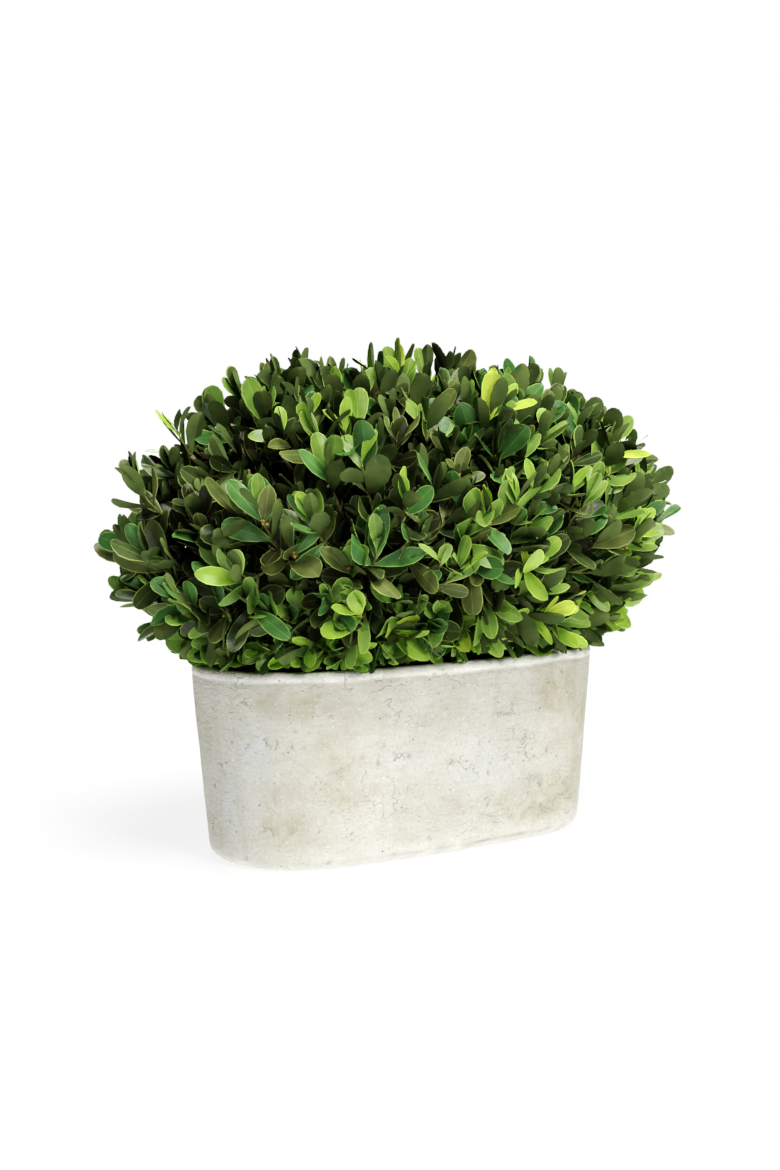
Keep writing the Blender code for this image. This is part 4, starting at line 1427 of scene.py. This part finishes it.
    # Painted light along the foot, and a painted highlight on the rim above the line below it.
    low = np.clip(1 - (y - FOOT_LIGHT_BAND[0]) / FOOT_LIGHT_BAND[1], 0, 1) * FOOT_LIGHT
    high = np.clip((y - line) / RIM_HIGHLIGHT_BAND, 0, 1) * RIM_HIGHLIGHT
    marks = {
        "stain": mottled(STAINS) + 0.28 * np.clip(lattice_noise(u, v, 16, 7, chance), 0, 1),
        "cool": mottled(COOL_PATCHES) * 0.85,
        "lime": np.clip(np.maximum(low, high) * (0.8 + 0.3 * rough), 0, 1),
        "dirt": np.clip(dirt, 0, MOST_SHADE),
    }
    shrink = np.array(RING_SHARES)[:, None, None]
    foot = points[:1] * (1, 1, 0) * shrink
    floor = points[-1:] * (1, 1, 0) * shrink[::-1] + np.array((0, 0, POT_FLOOR))
    points = np.concatenate([foot, points, floor])
    # The rows of the foot and of the floor, and their middle points, have no marks.
    plain = len(shrink) * columns
    marks = {name: np.pad(at.reshape(-1), (plain, plain + 2)) for name, at in marks.items()}
    middles = ((0, 0, 0), (0, 0, POT_FLOOR))
    all_points = np.concatenate([points.reshape(-1, 3), middles])
    return all_points, list(ring_faces(len(points), columns)), marks


# The mix: points round it, rows up its side and over its top, how far below the fill's top
# its edge and its middle level lie, its rings' shares from edge to middle, and its lumps.
MIX_COLUMNS, MIX_SIDE_ROWS, MIX_TOP_ROWS = 180, 5, 46
MIX_EDGE_DROP, MIX_TOP_DROP = 0.0012, 0.0016
MIX_SHARES, MIX_LUMPS = (0.985, 0.02), 0.0009


def mix_arrays(settings):
    """The potting mix: shrinking ovals up its side and over its lumpy top to the middle.

    A top point lies at a share of the way from the middle to the rim, and its height is the
    fill's, lowered by coarse and fine noise.
    """
    chance = np.random.default_rng(settings.seed + 1)
    columns = MIX_COLUMNS
    centre, radius, way = oval_frame(columns)
    foot_height, top_height = POT_FLOOR + SEAT, FILL_TOP - MIX_TOP_DROP
    levels = np.linspace(foot_height, FILL_TOP - MIX_EDGE_DROP, MIX_SIDE_ROWS)
    inside = -POT_WALL - SEAT - POT_DRAFT * (POT_HEIGHT - levels)
    wall = centre[None] + (radius[None] + inside[:, None])[..., None] * way[None]
    levels = np.broadcast_to(levels[:, None, None], (MIX_SIDE_ROWS, columns, 1))
    wall = np.concatenate([wall, levels], axis=-1)
    shares = np.linspace(*MIX_SHARES, MIX_TOP_ROWS)[:, None]
    top = wall[-1:, :, :2] * shares[..., None]
    u, v = np.broadcast_arrays(np.arange(columns)[None] / columns, shares)
    rough = lattice_noise(u, v, 24, 9, chance) + lattice_noise(u, v, 90, 30, chance) * 0.6
    height = np.minimum(top_height + rough * MIX_LUMPS * np.minimum(1, v * 4), FILL_TOP)
    points = np.concatenate([wall, np.concatenate([top, height[..., None]], axis=-1)])
    middles = ((0, 0, foot_height), (0, 0, top_height))
    return np.concatenate([points.reshape(-1, 3), middles]), list(ring_faces(len(points), columns))


# The stem and the boughs: steps along them, sides round them and ridges of their bark. A
# bough swells into the stem's bark by a share that falls off along it.
STEM_STEPS, STEM_SIDES, STEM_RIDGES = 60, 48, 7
BOUGH_STEPS, BOUGH_SIDES, BOUGH_RIDGES = 28, 14, 4
BOUGH_SWELL, BOUGH_SWELL_FALL = 0.5, 14
NEARBY = 0.001


def stem_middle(rise):
    """The stem's middle at heights above the fill: it leans by the power 1.5 of its height."""
    upright = STEM_TAPER[1, 0]
    share = np.clip(rise - upright, 0, None) / (STEM_TAPER[-1, 0] - upright)
    return STEM_LEAN * share[..., None] ** 1.5 + UP * (FILL_TOP + SEAT + rise)[..., None]


def bark_relief(tubes_count, steps, sides, ridges, chance):
    """A factor on the radius: long ridges that wander, with knots, about 1."""
    step = np.linspace(0, 1, steps)[None, :, None]
    angle = np.arange(sides) / sides * math.tau
    phase = chance.uniform(0, math.tau, (tubes_count, 1, 1))
    wander = 1.3 * np.sin(step * 5 + phase) + 0.7 * np.sin(step * 13 + 2 * phase)
    long_ridges = np.cos(ridges * angle + wander) * 0.035
    cross = np.cos((ridges * 2 + 1) * angle - 2 * wander + 9 * step) * 0.02
    knots = 0.03 * np.sin(step * 31 + phase) * np.cos(angle + phase)
    return 1 + long_ridges + cross + knots


# Operators, one for each piece or group of like pieces.


class BOXWOOD_OT_planter(bpy.types.Operator):
    """Cast the cement planter, with its waves, pits and stains"""

    bl_idname = "boxwood.planter"
    bl_label = "Planter"

    def execute(self, context):
        settings = context.scene.boxwood_planter
        points, faces, marks = planter_arrays(settings)
        mesh = mesh_from_arrays("planter", points, faces, marks=marks)
        add_piece("planter", mesh, [cement_material(settings)], ["pot"])
        return {"FINISHED"}


class BOXWOOD_OT_potting_mix(bpy.types.Operator):
    """Fill the planter with crumbly potting mix"""

    bl_idname = "boxwood.potting_mix"
    bl_label = "Potting mix"

    def execute(self, context):
        settings = context.scene.boxwood_planter
        points, faces = mix_arrays(settings)
        mesh = mesh_from_arrays("potting_mix", points, faces, smooth_below=30.0)
        add_piece("potting_mix", mesh, [mix_material(settings.mix)], ["fill"])
        return {"FINISHED"}


class BOXWOOD_OT_limbs(bpy.types.Operator):
    """Give the stem and the boughs their bark"""

    bl_idname = "boxwood.limbs"
    bl_label = "Stem and boughs"

    def execute(self, context):
        colours = context.scene.boxwood_colours
        bark = wood_material("Bark", colours.bark, (1.0, 1.0, 0.25))
        chance = np.random.default_rng(BARK_SEED)
        rise = np.linspace(0, STEM_TAPER[-1, 0], STEM_STEPS)
        line = stem_middle(rise)[None]
        radii = np.interp(rise, *STEM_TAPER.T)[None]
        relief = bark_relief(1, STEM_STEPS, STEM_SIDES, STEM_RIDGES, chance)
        relief[:, :2] = 1.0
        points, faces = tubes(line, radii, STEM_SIDES, relief)
        points[:, 2] = np.maximum(points[:, 2], FILL_TOP + SEAT)
        mesh = mesh_from_arrays("stem_bark", points, faces)
        add_piece("stem_bark", mesh, [bark], ["stem"])

        middles, ways, gates = mass_plan()
        lower, upper = LOWER_MASSES[0], UPPER_MASSES[0]
        rises = np.array(
            [LOWER_BOUGH_RISE[i % 2] for i in range(lower)]
            + [UPPER_BOUGH_RISE[i % 2] for i in range(upper)]
        )
        foot = stem_middle(rises)
        stem_ways = unit(stem_middle(rises + NEARBY) - stem_middle(rises - NEARBY))
        out = unit(middles[:-1] * np.array((1, 1, 0)))
        out = unit(out - stem_ways * (out * stem_ways).sum(-1, keepdims=True))
        stem_radii = np.interp(rises, *STEM_TAPER.T)[:, None]
        top = stem_middle(STEM_TAPER[-1:, 0])
        top_way = unit(top - stem_middle(STEM_TAPER[-1:, 0] - NEARBY))
        starts = np.concatenate([foot + out * stem_radii, top + top_way * SEAT])
        start_ways = np.concatenate([out, top_way])
        count = len(starts)
        share = even_steps(count, BOUGH_STEPS)
        lines, _ = bent_lines(starts, start_ways, gates, ways, share)
        radii = tapering(lines, *BOUGH_RADII).copy()
        radii[-1] = np.linspace(TOP_BOUGH_RADIUS, BOUGH_RADII[1], BOUGH_STEPS)
        radii = radii * (1 + BOUGH_SWELL * np.exp(-share * BOUGH_SWELL_FALL))
        relief = bark_relief(count, BOUGH_STEPS, BOUGH_SIDES, BOUGH_RIDGES, chance)
        points, faces = tubes(lines, radii, BOUGH_SIDES, relief)
        mesh = mesh_from_arrays("bough_bark", points, faces)
        add_piece("bough_bark", mesh, [bark], BOUGHS)
        return {"FINISHED"}


class BOXWOOD_OT_twigs(bpy.types.Operator):
    """Grow the twigs and the young shoots that bear the leaves"""

    bl_idname = "boxwood.twigs"
    bl_label = "Twigs and shoots"

    def execute(self, context):
        colours = context.scene.boxwood_colours
        crown = grown(context)
        stems, twigs, shoots = crown["mass_stems"], crown["twigs"], crown["shoots"]
        stem_points, stem_faces = tubes(stems, tapering(stems, *MASS_STEM_RADII), 8)
        points, faces = tubes(twigs, tapering(twigs, *TWIG_RADII), 6)
        faces = stem_faces + [group + len(stem_points) for group in faces]
        mesh = mesh_from_arrays("twigs", np.concatenate([stem_points, points]), faces)
        add_piece("twigs", mesh, [wood_material("Twig bark", colours.bark)])

        mesh = mesh_from_arrays("shoots", *tubes(shoots, tapering(shoots, *SHOOT_RADII), 5))
        add_piece("shoots", mesh, [wood_material("Young shoot", colours.shoot)])
        return {"FINISHED"}


class BOXWOOD_OT_leaves(bpy.types.Operator):
    """Grow the leaves, one piece for each green"""

    bl_idname = "boxwood.leaves"
    bl_label = "Leaves"

    def execute(self, context):
        colours = context.scene.boxwood_colours
        thickness = context.scene.boxwood_crown.leaf_thickness
        leaves = grown(context)["leaves"]
        underside = blade_material("Leaf underside", colours.underside, *UNDER_SKIN)
        for number, (name, colour, _) in enumerate(GREENS):
            mine = leaves["green"] == number
            chosen = {key: values[mine] for key, values in leaves.items()}
            points, faces, slots = leaf_mesh_arrays(chosen, thickness)
            mesh = mesh_from_arrays(f"leaves_{name}", points, faces, slots)
            edge, rib = (
                tuple(green * c + pale * m for c, m in zip(colour, colours.margin))
                for green, pale in (MARGIN_AND_HIGHLIGHT_MIX, MIDRIB_MIX)
            )
            materials = [
                blade_material(f"Leaf {name}", colour, *BLADE_SKIN),
                blade_material(f"Leaf margin {name}", edge, *LINE_SKIN),
                blade_material(f"Leaf midrib {name}", rib, *LINE_SKIN),
                underside,
            ]
            add_piece(f"leaves_{name}", mesh, materials, MASSES if number == 0 else ())
        return {"FINISHED"}


# A cluster of buds: how many, how much they look along the shoot, how far from its middle
# they start, their sizes, and their steps and sides.
BUDS_EACH, BUD_ALONG, BUD_START = 6, 0.5, 0.0006
BUD_SIZES, BUD_FATNESS = (0.0008, 0.0013), 0.75
BUD_STEPS, BUD_SIDES = 5, 6


class BOXWOOD_OT_buds(bpy.types.Operator):
    """Set the small clusters of flower buds on some shoots"""

    bl_idname = "boxwood.buds"
    bl_label = "Buds"

    def execute(self, context):
        colours = context.scene.boxwood_colours
        buds = grown(context)["buds"]
        chance = np.random.default_rng(BUD_SEED)
        count, each = len(buds["place"]), BUDS_EACH
        # A bud is a short fat tube whose radius is that of an ellipsoid along it.
        out = unit(chance.normal(0, 1, (count, each, 3)) + BUD_ALONG * buds["way"][:, None])
        start = buds["place"][:, None] + out * BUD_START
        size = chance.uniform(*BUD_SIZES, (count, each, 1))
        t = np.linspace(0.04, 0.96, BUD_STEPS)
        lines = start[:, :, None] + out[:, :, None] * (size * 2)[:, :, None] * t[:, None]
        radii = size * BUD_FATNESS * 2 * np.sqrt(t * (1 - t))
        lines, radii = lines.reshape(-1, BUD_STEPS, 3), radii.reshape(-1, BUD_STEPS)
        points, faces = tubes(lines, radii, BUD_SIDES)
        mesh = mesh_from_arrays("buds", points, faces)
        add_piece("buds", mesh, [bud_material(colours.bud)])
        return {"FINISHED"}


# The camera's place, its heading clockwise from +Y, and its view in the photograph's pixels.
CAMERA_PLACE = (-0.52606, -0.77452, 0.20328)
CAMERA_HEADING = math.radians(33.96)
CAMERA_PITCH = math.radians(4.286)
CAMERA_ROLL = math.radians(-0.647)
IMAGE_HEIGHT = 1170
FOCAL_LENGTH = 1800

# The tone curve's points between black and white, in linear light.
TONES = (
    (0.012, 0.006),
    (0.035, 0.026),
    (0.08, 0.082),
    (0.16, 0.210),
    (0.30, 0.40),
    (0.62, 0.70),
)


def camera_matrix():
    """The camera looks along its heading, clockwise from +Y, pitched down and rolled a little."""
    level = Vector((math.sin(CAMERA_HEADING), math.cos(CAMERA_HEADING), 0.0))
    forward = level * math.cos(CAMERA_PITCH) - Vector((0, 0, math.sin(CAMERA_PITCH)))
    right = Vector((math.cos(CAMERA_HEADING), -math.sin(CAMERA_HEADING), 0.0))
    up = right.cross(forward)
    rolled_right = right * math.cos(CAMERA_ROLL) + up * math.sin(CAMERA_ROLL)
    rolled_up = up * math.cos(CAMERA_ROLL) - right * math.sin(CAMERA_ROLL)
    turned_axes = Matrix((rolled_right, rolled_up, -forward)).transposed().to_4x4()
    return Matrix.Translation(CAMERA_PLACE) @ turned_axes


# Soft lights: name and setting, place to the photograph's right, towards its camera and up
# from the middle of the plant, size, colour.
STAGE_MIDDLE = Vector((0, 0, 0.15))
LIGHTS = (
    ("Key", "key", (0.717, 1.104, 0.479), 0.45, (1.0, 0.99, 0.96)),
    ("Top light", "above", (0.28, 0.62, 1.22), 1.00, (1.0, 1.0, 1.0)),
    ("Back light", "back", (0.0, -1.27, 0.59), 1.20, (1.0, 1.0, 1.0)),
)
FLOOR_RINGS, FLOOR_COLUMNS = 8, 96


def add_area_light(name, place, target, size, power, colour):
    """A round soft light at a place, turned to its target."""
    light = bpy.data.lights.new(name, "AREA")
    light.shape = "DISK"
    light.size = size
    light.energy = power
    light.color = colour
    lamp = bpy.data.objects.new(name, light)
    bpy.context.scene.collection.objects.link(lamp)
    lamp.location = place
    lamp.rotation_euler = (target - place).to_track_quat("-Z", "Y").to_euler()


def seen_white(tree, lighting, seen):
    """The strength of a white surface: what is seen of it, and what lights the plant."""
    ray = add_node(tree, "ShaderNodeLightPath").outputs["Is Camera Ray"]
    return ramp(tree, ray, 0.0, 1.0, lighting, seen)


def add_floor(scene, settings):
    """A disc in rings, that glows. The surroundings' white takes over where it ends."""
    turn = np.arange(FLOOR_COLUMNS) / FLOOR_COLUMNS * math.tau
    rings = np.linspace(1.0, 0.0, FLOOR_RINGS + 1)[:-1, None, None]
    rim = np.stack([np.cos(turn), np.sin(turn), np.zeros(FLOOR_COLUMNS)], axis=-1)
    points = np.concatenate([(rings * rim).reshape(-1, 3), np.zeros((1, 3))])
    mesh = mesh_from_arrays("floor", points, ring_faces(FLOOR_RINGS, FLOOR_COLUMNS, False))
    floor = bpy.data.objects.new("floor", mesh)
    scene.collection.objects.link(floor)
    material, tree, shader = new_material("Pale floor", 0.9, 0.1)
    shader.inputs["Base Color"].default_value = (*settings.floor, 1.0)
    shader.inputs["Emission Color"].default_value = (1.0, 1.0, 1.0, 1.0)
    glow = seen_white(tree, settings.floor_bounce, settings.floor_glow)
    tree.links.new(glow, shader.inputs["Emission Strength"])
    mesh.materials.append(material)


def add_surroundings(scene, settings):
    """White all round, with a photograph's tone curve: shadows deeper, middle tones lighter."""
    world = bpy.data.worlds.new("White surroundings")
    world.use_nodes = True
    background = world.node_tree.nodes["Background"]
    background.inputs["Color"].default_value = (1.0, 1.0, 1.0, 1.0)
    strength = seen_white(world.node_tree, settings.surroundings, 1.0)
    world.node_tree.links.new(strength, background.inputs["Strength"])
    scene.world = world
    scene.view_settings.view_transform = "Standard"
    scene.view_settings.use_curve_mapping = True
    curve = scene.view_settings.curve_mapping.curves[3].points
    curve[0].location = (0.0, 0.0)
    curve[1].location = (1.0, 1.0)
    for place in TONES:
        curve.new(*place)
    scene.view_settings.curve_mapping.update()


def add_camera(scene):
    """The photograph's camera."""
    camera = bpy.data.objects.new("Camera", bpy.data.cameras.new("Camera"))
    scene.collection.objects.link(camera)
    camera.data.sensor_fit = "VERTICAL"
    camera.data.sensor_height = 36.0
    camera.data.lens = FOCAL_LENGTH / IMAGE_HEIGHT * camera.data.sensor_height
    camera.data.clip_start = 0.01
    camera.matrix_world = camera_matrix()
    scene.camera = camera


class BOXWOOD_OT_stage(bpy.types.Operator):
    """Set the floor, the soft lights and the camera"""

    bl_idname = "boxwood.stage"
    bl_label = "Stage"

    def execute(self, context):
        settings = context.scene.boxwood_stage
        add_floor(context.scene, settings)
        add_surroundings(context.scene, settings)
        right = Vector((math.cos(CAMERA_HEADING), -math.sin(CAMERA_HEADING), 0.0))
        towards = Vector((-math.sin(CAMERA_HEADING), -math.cos(CAMERA_HEADING), 0.0))
        for name, power, (across, near, up), size, colour in LIGHTS:
            place = STAGE_MIDDLE + right * across + towards * near + Vector((0, 0, up))
            add_area_light(name, place, STAGE_MIDDLE, size, getattr(settings, power), colour)
        add_camera(context.scene)
        return {"FINISHED"}


OPERATORS = (
    BOXWOOD_OT_planter,
    BOXWOOD_OT_potting_mix,
    BOXWOOD_OT_limbs,
    BOXWOOD_OT_twigs,
    BOXWOOD_OT_leaves,
    BOXWOOD_OT_buds,
    BOXWOOD_OT_stage,
)


class BOXWOOD_PT_panel(bpy.types.Panel):
    """Lists the boxwood's settings and pieces"""

    bl_label = "Boxwood"
    bl_idname = "BOXWOOD_PT_panel"
    bl_space_type = "VIEW_3D"
    bl_region_type = "UI"
    bl_category = "Boxwood"

    def draw(self, context):
        """Every setting in a box for its group, then a button for every operator."""
        for group in SETTINGS:
            box = self.layout.box()
            box.label(text=group.replace("boxwood_", "").capitalize())
            settings = getattr(context.scene, group)
            for name in settings.__annotations__:
                box.prop(settings, name)
        for operator in OPERATORS:
            self.layout.operator(operator.bl_idname)


SETTINGS = {
    "boxwood_planter": PlanterSettings,
    "boxwood_crown": CrownSettings,
    "boxwood_colours": ColourSettings,
    "boxwood_stage": StageSettings,
}
CLASSES = (*SETTINGS.values(), *OPERATORS, BOXWOOD_PT_panel)


def register():
    """Makes the settings, operators and panel known, and gives every scene its settings."""
    for one in CLASSES:
        bpy.utils.register_class(one)
    for name, group in SETTINGS.items():
        setattr(bpy.types.Scene, name, PointerProperty(type=group))


def unregister():
    """Takes the settings, operators and panel out again."""
    for name in SETTINGS:
        delattr(bpy.types.Scene, name)
    for one in reversed(CLASSES):
        bpy.utils.unregister_class(one)


def main():
    """Builds the stage and every piece."""
    register()
    bpy.ops.boxwood.stage()
    bpy.ops.boxwood.planter()
    bpy.ops.boxwood.potting_mix()
    bpy.ops.boxwood.limbs()
    bpy.ops.boxwood.twigs()
    bpy.ops.boxwood.leaves()
    bpy.ops.boxwood.buds()


if __name__ == "__main__":
    main()
